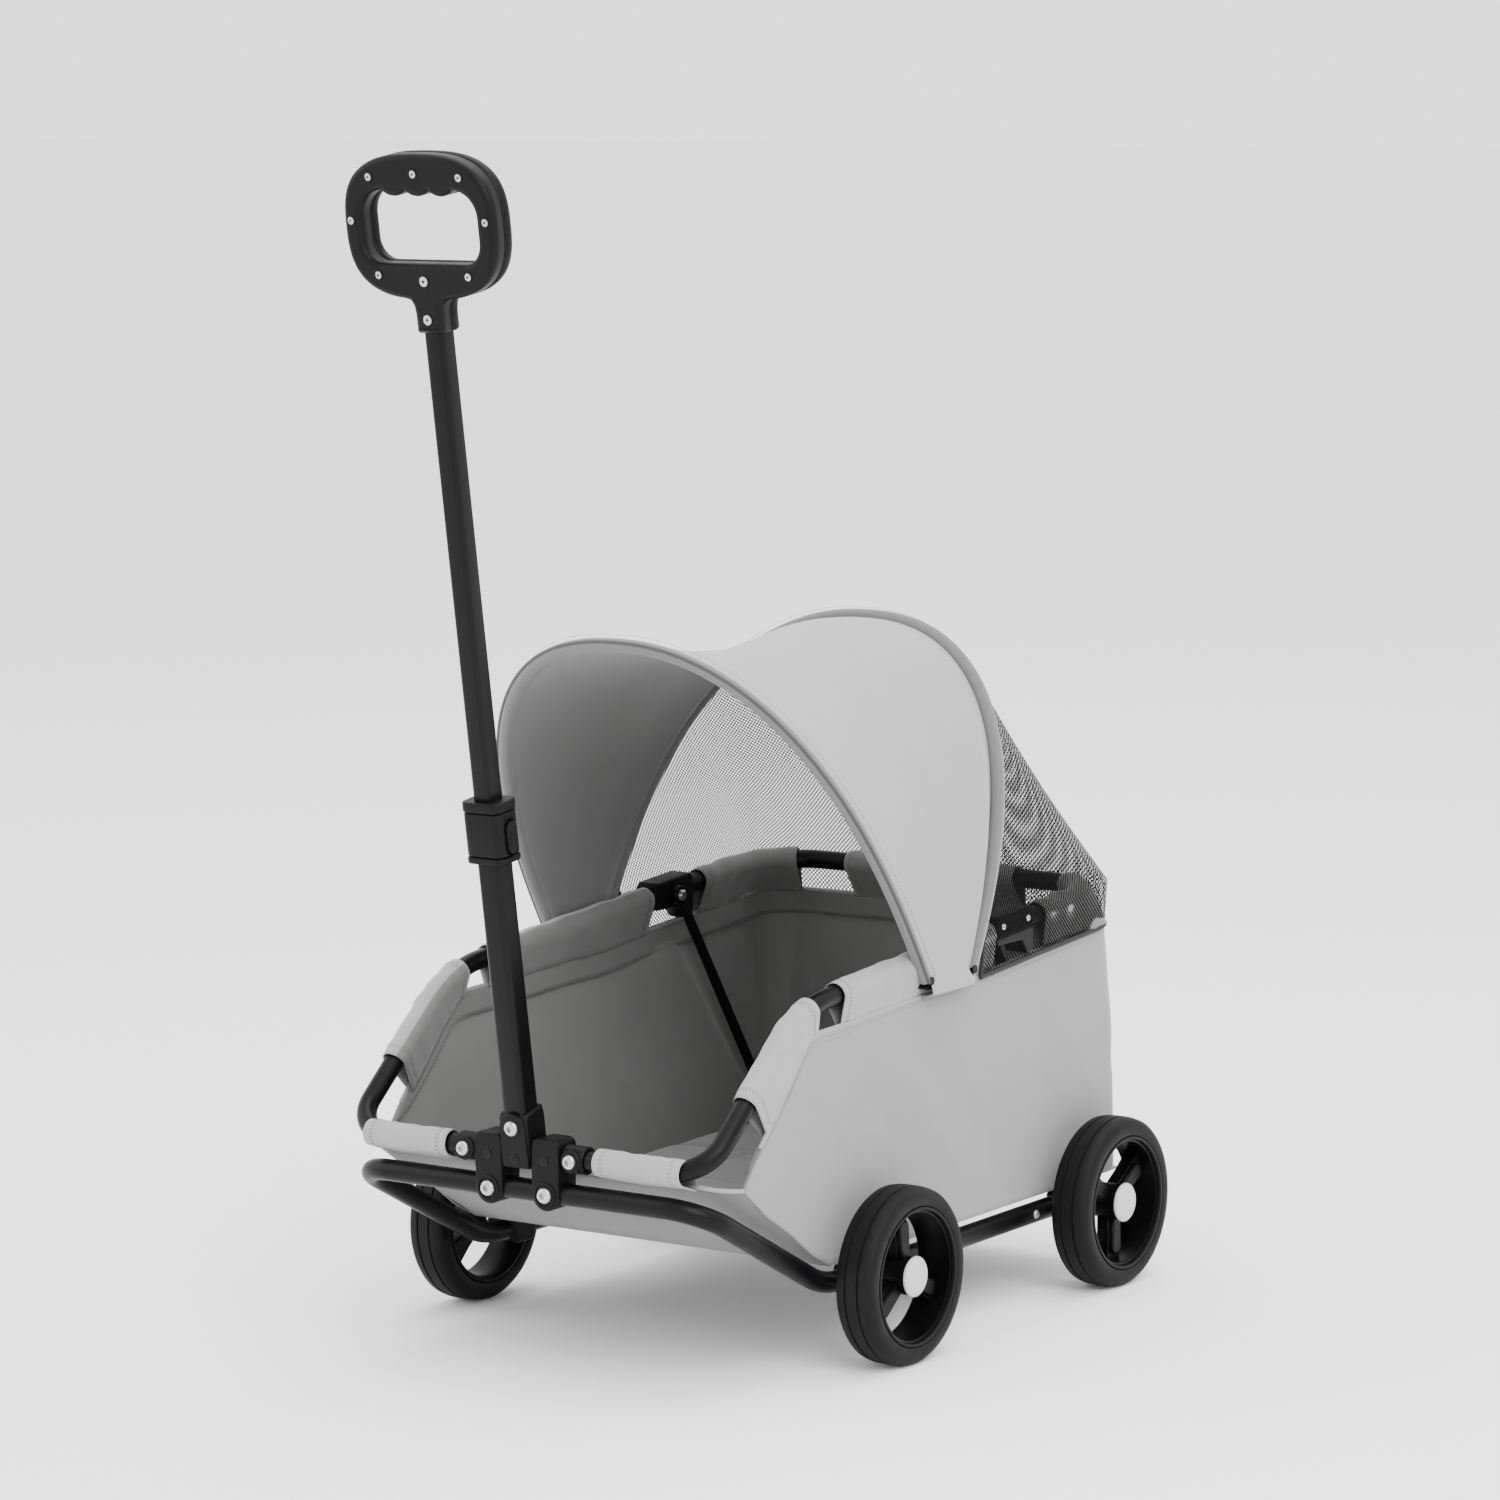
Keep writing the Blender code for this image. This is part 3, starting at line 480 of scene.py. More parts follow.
def sweep(
    name: str,
    path: np.ndarray,
    radius: float,
    finish: HardFinish | WovenFinish,
    closed: bool = False,
    sides: int = 24,
    flat: float = 1.0,
) -> bpy.types.Object:
    """Sweeps a round or oval section along a path in metres.

    Args:
        name: The piece's name.
        path: The centre line.
        radius: Section radius, in millimetres.
        finish: What the piece is made of.
        closed: Whether the path is a loop.
        sides: Points round the section.
        flat: Width across the second direction, as a share of the first.

    Returns:
        The piece.
    """
    first, second = frames_along(path, closed)
    turn = np.linspace(0, 2 * math.pi, sides, endpoint=False)
    wide, tall = np.cos(turn)[None, :, None] * first[:, None], np.sin(turn)[None, :, None] * second[:, None]
    ring = radius * MM * (wide + flat * tall)
    grid = path[:, None] + ring
    return surface(name, grid, finish, ring=True, loop=closed, ends=not closed)


def lathe(
    name: str,
    profile: Sequence[Sequence[float]],
    centre: Sequence[float],
    axis: Sequence[float],
    finish: HardFinish,
    steps: int = 64,
    hexed: Sequence[int] = (),
    placed: Callable[[Sequence[float]], np.ndarray] | None = None,
) -> bpy.types.Object:
    """Turns a profile about an axis.

    Args:
        name: The piece's name.
        profile: (distance along the axis, radius) pairs in millimetres, going so that the outside is outside.
        centre: Design point on the axis.
        axis: Direction of the axis.
        finish: What the piece is made of.
        steps: Points round the axis.
        hexed: Indices of profile points whose ring is a hexagon, as in a socket.
        placed: Turns a design point into metres, where that isn't at().

    Returns:
        The piece.
    """
    along = np.array(axis, float) / np.linalg.norm(axis)
    helper = np.array([0.0, 0.0, 1.0]) if abs(along[2]) < 0.9 else np.array([1.0, 0.0, 0.0])
    side = np.cross(along, helper)
    side /= np.linalg.norm(side)
    other = np.cross(along, side)
    turn = np.linspace(0, 2 * math.pi, steps, endpoint=False)
    wobble = np.cos(math.pi / 6) / np.cos((turn % (math.pi / 3)) - math.pi / 6)
    rows = []
    for k, (reach, radius) in enumerate(profile):
        round_off = wobble if k in hexed else np.ones(steps)
        spokes = np.cos(turn)[:, None] * side + np.sin(turn)[:, None] * other
        ring = np.array(centre, float) + reach * along + radius * round_off[:, None] * spokes
        rows.append([(placed or (lambda p: at(*p)))(point) for point in ring])
    bored = profile[0][1] > 0.01
    return surface(name, np.array(rows), finish, ring=True, loop=bored, ends=not bored)


FACING = {
    "X": Matrix(((0, 0, 1), (1, 0, 0), (0, 1, 0))),
    "Y": Matrix(((1, 0, 0), (0, 0, 1), (0, 1, 0))),
    "Z": Matrix(((1, 0, 0), (0, 1, 0), (0, 0, 1))),
}


def plate(
    name: str,
    outlines: Iterable[np.ndarray],
    span: Sequence[float],
    facing: str,
    finish: HardFinish,
    edge: float = 0.8,
    turn: Callable[[Sequence[float]], np.ndarray] = lambda p: at(*p),
) -> bpy.types.Object:
    """Extrudes flat outlines, the first outside and the rest holes, with rounded edges.

    Args:
        name: The piece's name.
        outlines: Closed outlines in millimetres, in the two axes left by facing.
        span: Lowest and highest place along the facing axis.
        facing: X, Y or Z.
        finish: What the piece is made of.
        edge: Radius of its rounded edges.
        turn: Turns a design point into metres.

    Returns:
        The piece.
    """
    low, high = sorted(span)
    curve = bpy.data.curves.new(name, "CURVE")
    curve.dimensions = "2D"
    curve.fill_mode = "BOTH"
    curve.extrude = (high - low) / 2 - edge
    curve.bevel_depth = edge
    curve.bevel_resolution = 2
    curve.offset = -edge
    for outline in outlines:
        spline = curve.splines.new("POLY")
        spline.points.add(len(outline) - 1)
        for place, (u, v) in zip(spline.points, outline):
            place.co = (u, v, 0.0, 1.0)
        spline.use_cyclic_u = True
    holder = bpy.data.objects.new(name, curve)
    bpy.context.scene.collection.objects.link(holder)
    made = baked(holder)
    mesh = made.data
    shape = bmesh.new()
    shape.from_mesh(mesh)
    bmesh.ops.remove_doubles(shape, verts=shape.verts, dist=0.002)
    for vertex in shape.verts:
        vertex.co = turn(FACING[facing] @ (vertex.co + Vector((0, 0, (low + high) / 2))))
    if shape.calc_volume(signed=True) < 0:
        bmesh.ops.reverse_faces(shape, faces=shape.faces)
    shape.to_mesh(mesh)
    shape.free()
    normal = np.zeros(len(mesh.polygons) * 3)
    mesh.polygons.foreach_get("normal", normal)
    main = np.array(turn(FACING[facing] @ Vector((0, 0, 1)))) - np.array(turn((0, 0, 0)))
    facing_on = np.abs(normal.reshape(-1, 3) @ (main / np.linalg.norm(main))) > 0.999
    mesh.polygons.foreach_set("use_smooth", ~facing_on)
    mesh.materials.clear()
    mesh.materials.append(finish.material())
    return made


def bolt_head(
    name: str,
    centre: Sequence[float],
    axis: Sequence[float],
    radius: float,
    body: Body,
    *replaced: str,
    placed: Callable[[Sequence[float]], np.ndarray] | None = None,
) -> None:
    """Puts a domed bolt head with a hexagon socket on a face."""
    high, socket = radius * 0.6, radius * 0.42
    profile = [(-0.4, 0.001), (-0.4, radius), (high * 0.45, radius * 0.97), (high * 0.8, radius * 0.84)]
    profile += [(high, radius * 0.6), (high, socket), (high * 0.3, socket), (high * 0.25, 0.001)]
    head = lathe(name, profile, centre, axis, ZINC_PLATE, 36, hexed=(5, 6), placed=placed)
    present(head, body, Slot.BOLT, *replaced)


def present(
    piece: bpy.types.Object, body: Body | str, slot: Slot, *replaced: str
) -> bpy.types.Object:
    """Hands a piece to the body it moves with, and hides the nodes it stands for."""
    name = body.value if isinstance(body, Body) else body
    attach(piece, name)
    note(piece, name, slot, *replaced)
    return piece


def note(piece: bpy.types.Object, body: str, slot: Slot, *replaced: str) -> None:
    """Hides the nodes a piece stands for, and reports the piece."""
    if replaced:
        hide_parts(*replaced)
    LOG.info("%s on %s, %d faces", piece.name, body, len(piece.data.polygons))


# ---------------------------------------------------------------- repeated work by geometry nodes


class NodeTool:
    """A geometry node tree under construction."""

    def __init__(self, name: str, inputs: dict[str, tuple[str, float | None]]) -> None:
        """Starts a tree with a geometry input, the named inputs, and a geometry output."""
        self.tree = bpy.data.node_groups.new(name, "GeometryNodeTree")
        sockets = self.tree.interface
        sockets.new_socket("Geometry", in_out="INPUT", socket_type="NodeSocketGeometry")
        self.keys = {}
        for label, (kind, start) in inputs.items():
            socket = sockets.new_socket(label, in_out="INPUT", socket_type=kind)
            if start is not None:
                socket.default_value = start
            self.keys[label] = socket.identifier
        sockets.new_socket("Geometry", in_out="OUTPUT", socket_type="NodeSocketGeometry")
        self.start = self.tree.nodes.new("NodeGroupInput")
        self.end = self.tree.nodes.new("NodeGroupOutput")

    def add(self, kind: str, links: dict[str | int, object], **settings: object) -> bpy.types.Node:
        """Adds a node, sets its properties and joins or sets its inputs."""
        made = self.tree.nodes.new(kind)
        for key, value in settings.items():
            setattr(made, key, value)
        for key, value in links.items():
            if isinstance(value, bpy.types.NodeSocket):
                self.tree.links.new(value, made.inputs[key])
            else:
                made.inputs[key].default_value = value
        return made

    def finish(self, geometry: bpy.types.NodeSocket) -> None:
        """Ends the tree with real geometry in the asked-for material."""
        real = self.add("GeometryNodeRealizeInstances", {"Geometry": geometry})
        dressed = self.add(
            "GeometryNodeSetMaterial", {"Geometry": real.outputs[0], "Material": self.start.outputs["Material"]}
        )
        self.tree.links.new(dressed.outputs[0], self.end.inputs[0])

    def run(self, name: str, source: bpy.types.Object, values: dict[str, object]) -> bpy.types.Object:
        """Runs the tree on an object and gives the result as a plain mesh object."""
        work = source.modifiers.new(self.tree.name, "NODES")
        work.node_group = self.tree
        for label, value in values.items():
            work[self.keys[label]] = value
        graph = bpy.context.evaluated_depsgraph_get()
        mesh = bpy.data.meshes.new_from_object(source.evaluated_get(graph), depsgraph=graph)
        bpy.data.objects.remove(source)
        made = bpy.data.objects.new(name, mesh)
        bpy.context.scene.collection.objects.link(made)
        return made


def stitch_tool() -> NodeTool:
    """Builds the tree that lays small rounded stitches end to end along curves."""
    tool = NodeTool(
        "stitches",
        {
            "Pitch": ("NodeSocketFloat", 0.0032),
            "Length": ("NodeSocketFloat", 0.0022),
            "Thickness": ("NodeSocketFloat", 0.0006),
            "Material": ("NodeSocketMaterial", None),
        },
    )
    start = tool.start.outputs
    runs = {"Curve": start["Geometry"], "Length": start["Pitch"]}
    spaced = tool.add("GeometryNodeResampleCurve", runs, mode="LENGTH")
    ball = tool.add("GeometryNodeMeshIcoSphere", {"Radius": 0.5, "Subdivisions": 1})
    heading = tool.add("GeometryNodeInputTangent", {})
    turned = tool.add("FunctionNodeAlignRotationToVector", {"Vector": heading.outputs[0]}, axis="Z")
    size = tool.add(
        "ShaderNodeCombineXYZ", {"X": start["Thickness"], "Y": start["Thickness"], "Z": start["Length"]}
    )
    laid = tool.add(
        "GeometryNodeInstanceOnPoints",
        {
            "Points": spaced.outputs[0],
            "Instance": ball.outputs[0],
            "Rotation": turned.outputs[0],
            "Scale": size.outputs[0],
        },
    )
    tool.finish(laid.outputs[0])
    return tool


def net_tool() -> NodeTool:
    """Builds the tree that opens a hole in every face of a mesh and leaves the yarn round it."""
    tool = NodeTool("net", {"Hole": ("NodeSocketFloat", 0.78), "Material": ("NodeSocketMaterial", None)})
    start = tool.start.outputs
    cut = tool.add("GeometryNodeExtrudeMesh", {"Mesh": start["Geometry"], "Offset Scale": 0.0}, mode="FACES")
    cut.inputs["Individual"].default_value = True
    shrunk = tool.add(
        "GeometryNodeScaleElements",
        {"Geometry": cut.outputs["Mesh"], "Selection": cut.outputs["Top"], "Scale": start["Hole"]},
    )
    opened = tool.add(
        "GeometryNodeDeleteGeometry",
        {"Geometry": shrunk.outputs[0], "Selection": cut.outputs["Top"]},
        domain="FACE",
    )
    tool.finish(opened.outputs[0])
    return tool


class Seams:
    """Gathers the lines of stitching of one body and lays them all at once."""

    def __init__(self) -> None:
        """Starts with no lines."""
        self.lines: list[np.ndarray] = []

    def add(self, *lines: np.ndarray) -> None:
        """Adds lines of stitching, each a path in metres."""
        self.lines += [line for line in lines]

    def lay(self, name: str, tool: NodeTool, finish: HardFinish) -> bpy.types.Object:
        """Makes the stitches of every line as one mesh."""
        curve = bpy.data.curves.new(name, "CURVE")
        curve.dimensions = "3D"
        for line in self.lines:
            spline = curve.splines.new("POLY")
            spline.points.add(len(line) - 1)
            spline.points.foreach_set("co", np.c_[line, np.ones(len(line))].ravel())
        holder = bpy.data.objects.new(name, curve)
        bpy.context.scene.collection.objects.link(holder)
        made = tool.run(name, holder, {"Material": finish.material()})
        return finish_mesh_in_place(made)


def finish_mesh_in_place(piece: bpy.types.Object) -> bpy.types.Object:
    """Shades a made piece smooth."""
    piece.data.polygons.foreach_set("use_smooth", np.ones(len(piece.data.polygons), bool))
    return piece


# ---------------------------------------------------------------- the frame's own lines

HINGE = (-205.0, 180.0)
UPPER_KNEE = (-78.0, 287.0)
UPPER_REAR = (372.0, 320.0)
UPPER_X = 168.0
POLE_TILT = math.radians(8.0)
FRONT_BOW = ((80.0, 286.5), 314.0, math.radians(-30.5))
REAR_BOW = ((143.0, 286.5), 290.0, math.radians(26.9))
BOW_HALF = 180.5
WALL_X = 173.5


def rail_height(y: float) -> float:
    """Gives the height of the upper side rail's centre line, behind the knee."""
    run = (y - UPPER_KNEE[0]) / (UPPER_REAR[0] - UPPER_KNEE[0])
    return UPPER_KNEE[1] + run * (UPPER_REAR[1] - UPPER_KNEE[1])


def upper_path(steps: int = 12) -> np.ndarray:
    """Gives the right half of the upper frame's centre line, from the middle of the front to that of the rear."""
    points = [(0, *HINGE), (UPPER_X, *HINGE), (UPPER_X, *UPPER_KNEE), (UPPER_X, *UPPER_REAR), (0, *UPPER_REAR)]
    return fillet(points, [0, 32, 120, 55, 0], False, steps)


def whole_loop(half: np.ndarray) -> np.ndarray:
    """Closes a right half, whose ends are on the middle plane, into a loop."""
    return np.vstack([half, half[-2:0:-1] * np.array([-1.0, 1.0, 1.0])])


def bow_point(turn: float, bow: tuple, grow: float = 0.0) -> np.ndarray:
    """Gives a point on a bow's arch, turn running from 0 at the right foot to pi at the left foot."""
    base, height, lean = bow
    across = math.cos(turn)
    x = (BOW_HALF + grow) * math.copysign(abs(across) ** 0.886, across)
    rise = (height + grow) * max(math.sin(turn), 0.0) ** 0.78
    return np.array([x, base[0] + rise * math.sin(lean), base[1] + rise * math.cos(lean)])


def bow_arch(bow: tuple, grow: float, count: int) -> np.ndarray:
    """Gives evenly spaced design points along a bow's arch, from the right foot to the left one."""
    turns = math.pi * (0.5 - 0.5 * np.cos(np.linspace(0, math.pi, 241)))
    return resample(np.array([bow_point(turn, bow, grow) for turn in turns]), count)


def leaning(point: Sequence[float]) -> np.ndarray:
    """Places a point of the pull handle, given as if the handle stood upright, in metres."""
    x, y, z = point
    out, along = y - HINGE[0], z - HINGE[1]
    s, c = math.sin(POLE_TILT), math.cos(POLE_TILT)
    return at(x, HINGE[0] + out * c - along * s, HINGE[1] + out * s + along * c)


def metres(points: np.ndarray) -> np.ndarray:
    """Turns an array of design points into metres in the frame's axes."""
    return (points + np.array([0.0, AXLE_Y, 0.0])) * MM


def carved(piece: bpy.types.Object, cutters: Sequence[bpy.types.Object]) -> bpy.types.Object:
    """Cuts other closed pieces out of a piece, and removes them."""
    for cutter in cutters:
        tool = piece.modifiers.new("cut", "BOOLEAN")
        tool.operation = "DIFFERENCE"
        tool.solver = "EXACT"
        tool.object = cutter
    baked(piece)
    for cutter in cutters:
        bpy.data.objects.remove(cutter)
    return piece


# ---------------------------------------------------------------- wheels


@dataclass
class Wheels:
    """Four moulded wheels with rubber tyres and pale hub caps."""

    radius: float = 70.0
    half: float = 17.2
    rim: float = 55.0
    track: float = 207.0
    rear: float = 315.5
    spokes: int = 3
    spoke_turn: dict = field(default_factory=lambda: {"front": 95.0, "rear": 30.0})

    def build(self) -> None:
        """Builds the four wheels."""
        for end, y in (("front", 0.0), ("rear", self.rear)):
            for side, sign in (("left", -1), ("right", 1)):
                self.build_wheel(f"{end}_{side}", end, sign, y)

    def build_wheel(self, name: str, end: str, sign: int, y: float) -> None:
        """Builds one wheel.

        Args:
            name: Its end and side, as in the frame's node names.
            end: front or rear.
            sign: 1 on the right, -1 on the left.
            y: Depth of its axle.
        """
        body = f"wheel_{name}"
        centre = (sign * self.track, y, self.radius)
        axis = (sign, 0, 0)
        tyre = lathe(f"wheel_tyre_{name}", self.tyre_profile(), centre, axis, TYRE_RUBBER, 128)
        present(tyre, body, Slot.RUBBER, f"tyre_{name}")
        barrel = lathe(f"wheel_barrel_{name}", self.barrel_profile(), centre, axis, WHEEL_MOULDING, 96)
        present(barrel, body, Slot.PLASTIC, f"rim_{name}")
        hub = [(-20.6, 4.3), (-20.6, 12.0), (-12, 14.2), (10.0, 15.2), (11.6, 14.6), (12.0, 13.0), (12.0, 4.3)]
        present(lathe(f"wheel_hub_{name}", hub, centre, axis, WHEEL_MOULDING, 64), body, Slot.PLASTIC)
        for k in range(self.spokes):
            angle = math.radians(self.spoke_turn[end] + 360.0 * k / self.spokes)
            self.build_spoke(f"{name}_{k}", body, sign, y, angle)
        cap = [(12.5, 0.001), (12.5, 15.6), (13.3, 16.0), (14.6, 15.7), (15.7, 14.4), (16.4, 11.5), (16.9, 6.0)]
        cap += [(17.0, 0.001)]
        cap_piece = lathe(f"wheel_cap_{name}", cap, centre, axis, CAP_MOULDING, 72)
        present(cap_piece, body, Slot.CAP, f"hub_cap_{name}")
        pin = [(-29.3, 0.001), (-29.3, 4.0), (11.0, 4.0), (12.0, 3.0), (12.0, 0.001)]
        present(lathe(f"axle_pin_{name}", pin, centre, axis, ZINC_PLATE, 32), Body.CHASSIS, Slot.BOLT, f"axle_{name}")

    def tyre_profile(self) -> list[tuple[float, float]]:
        """Gives the tyre's section: a rounded tread with two shallow grooves, and a flat seat on the rim."""
        h, r = self.half, self.radius
        left = [(-h + 0.6, self.rim + 0.4), (-h, self.rim + 1.6), (-h, r - 8.5)]
        left += [(-h + 0.5, r - 5.6), (-h + 1.8, r - 3.2)]
        left += [(-h + 4.0, r - 1.3), (-8.4, r - 0.25), (-6.6, r - 0.1), (-6.1, r - 1.3), (-5.1, r - 1.3), (-4.6, r)]
        right = [(-offset, size) for offset, size in reversed(left)]
        return left + [(0.0, r)] + right

    def barrel_profile(self) -> list[tuple[float, float]]:
        """Gives the rim's section: a deep barrel with a rolled lip at each side."""
        h, r = self.half, self.rim
        outside = [(-h, r - 2.6), (-h + 0.5, r - 0.4), (-h + 1.6, r), (h - 1.6, r), (h - 0.3, r - 0.5), (h, r - 1.6)]
        inside = [(h - 0.3, r - 2.8), (h - 1.6, r - 3.4), (h - 3.4, r - 3.6), (h - 3.8, r - 5.0), (-h + 3.0, r - 5.4)]
        return outside + inside + [(-h + 0.8, r - 4.0)]

    def build_spoke(self, name: str, body: str, sign: int, y: float, angle: float) -> None:
        """Builds one spoke: a flared web behind a raised bar with a round end."""
        along = np.array([math.cos(angle), math.sin(angle)])
        across = np.array([-along[1], along[0]])
        middle_point = np.array([y, self.radius])

        def shape(pairs: Sequence[Sequence[float]], radius: Sequence[float]) -> np.ndarray:
            """Turns (reach, half width) pairs into an outline."""
            edge = [(reach, wide) for reach, wide in pairs] + [(reach, -wide) for reach, wide in reversed(pairs)]
            return fillet_flat([middle_point + along * a + across * b for a, b in edge], radius)

        web = shape([(9.0, 7.0), (30.0, 7.6), (50.6, 10.5)], [0, 8, 0, 0, 8, 0])
        span = (sign * (self.track - 9.0), sign * (self.track + 2.6))
        present(plate(f"spoke_web_{name}", [web], span, "X", WHEEL_MOULDING, 1.2), body, Slot.PLASTIC)
        bar = shape([(10.0, 5.8), (44.0, 7.0)], [0, 5.5, 5.5, 0])
        span = (sign * (self.track - 2.0), sign * (self.track + 6.6))
        present(plate(f"spoke_bar_{name}", [bar], span, "X", WHEEL_MOULDING, 1.8), body, Slot.PLASTIC)


# ---------------------------------------------------------------- tubes, brackets and stays


@dataclass
class LowerFrame:
    """The closed loop of bent tube that carries the wheels, with its moulded wheel brackets."""

    radius: float = 8.5
    rail: float = 165.0
    front: tuple[float, float] = (-206.0, 152.0)
    knee: tuple[float, float] = (-45.0, 65.0)
    rear: tuple[float, float] = (382.0, 65.0)
    rear_axle: float = 315.5
    stay_foot: tuple[float, float] = (346.7, 100.0)

    def build(self) -> None:
        """Builds the loop and everything fixed to it."""
        points = [(0, *self.front), (self.rail, *self.front), (self.rail, *self.knee), (self.rail, *self.rear)]
        half = fillet([*points, (0, *self.rear)], [0, 34, 90, 28, 0], False, 14)
        loop = sweep("lower_tube", metres(whole_loop(half)), self.radius, POWDER_COAT, closed=True, sides=32)
        present(loop, Body.CHASSIS, Slot.TUBE, "lower_frame")
        for side, sign in (("left", -1), ("right", 1)):
            for end, y in (("front", 0.0), ("rear", self.rear_axle)):
                self.build_bracket(f"{end}_{side}", end, sign, y)
            self.build_stay_foot(side, sign)
            bolt_head(f"rail_bolt_{side}", (sign * 173.2, 254.0, 66.0), (sign, 0, 0), 3.6, Body.CHASSIS)

    def build_bracket(self, name: str, end: str, sign: int, y: float) -> None:
        """Builds the block that holds an axle under the rail, with its clamp lips and bolt."""
        outline = fillet_flat([(y - 19, 75.5), (y + 19, 75.5), (y + 12, 53), (y - 12, 53)], [4, 4, 7, 7])
        block = plate(f"axle_block_{name}", [outline], (sign * 155.5, sign * 182), "X", BLACK_MOULDING, 2.0)
        present(block, Body.CHASSIS, Slot.PLASTIC, f"wheel_bracket_{name}")
        boss = [(0.0, 5.0), (0.0, 9.5), (4.2, 9.0), (5.0, 8.0), (5.0, 5.0)]
        collar = lathe(f"axle_boss_{name}", boss, (sign * 180.8, y, 70.0), (sign, 0, 0), BLACK_MOULDING, 48)
        present(collar, Body.CHASSIS, Slot.PLASTIC)
        for k in (-1, 1):
            head = (sign * 181.8, y + 14.0 * k, 71.0)
            bolt_head(f"block_bolt_{name}_{'rear' if k > 0 else 'front'}", head, (sign, 0, 0), 2.9, Body.CHASSIS)

    def build_stay_foot(self, side: str, sign: int) -> None:
        """Builds the small bracket that a stay's foot turns on."""
        y, z = self.stay_foot
        outline = [(154.9, 60), (175.6, 60), (175.6, 77.5), (159.5, 77.5), (159.5, z + 8), (154.9, z + 8)]
        outline = fillet_flat([(sign * u, v) for u, v in outline], [2, 2, 2, 2, 1.2, 1.2])
        foot = plate(f"stay_foot_block_{side}", [outline], (y - 7, y + 7), "Y", BLACK_MOULDING, 1.0)
        present(foot, Body.CHASSIS, Slot.PLASTIC, f"stay_foot_{side}")
        pin = [(-5.5, 0.001), (-5.5, 3.0), (4.2, 3.0), (4.2, 5.0), (5.6, 4.6), (6.6, 3.2), (7.0, 0.001)]
        stud = lathe(f"stay_foot_rivet_{side}", pin, (sign * 153.5, y, z), (-sign, 0, 0), ZINC_PLATE, 36)
        present(stud, Body.CHASSIS, Slot.BOLT, f"stay_foot_pin_{side}")


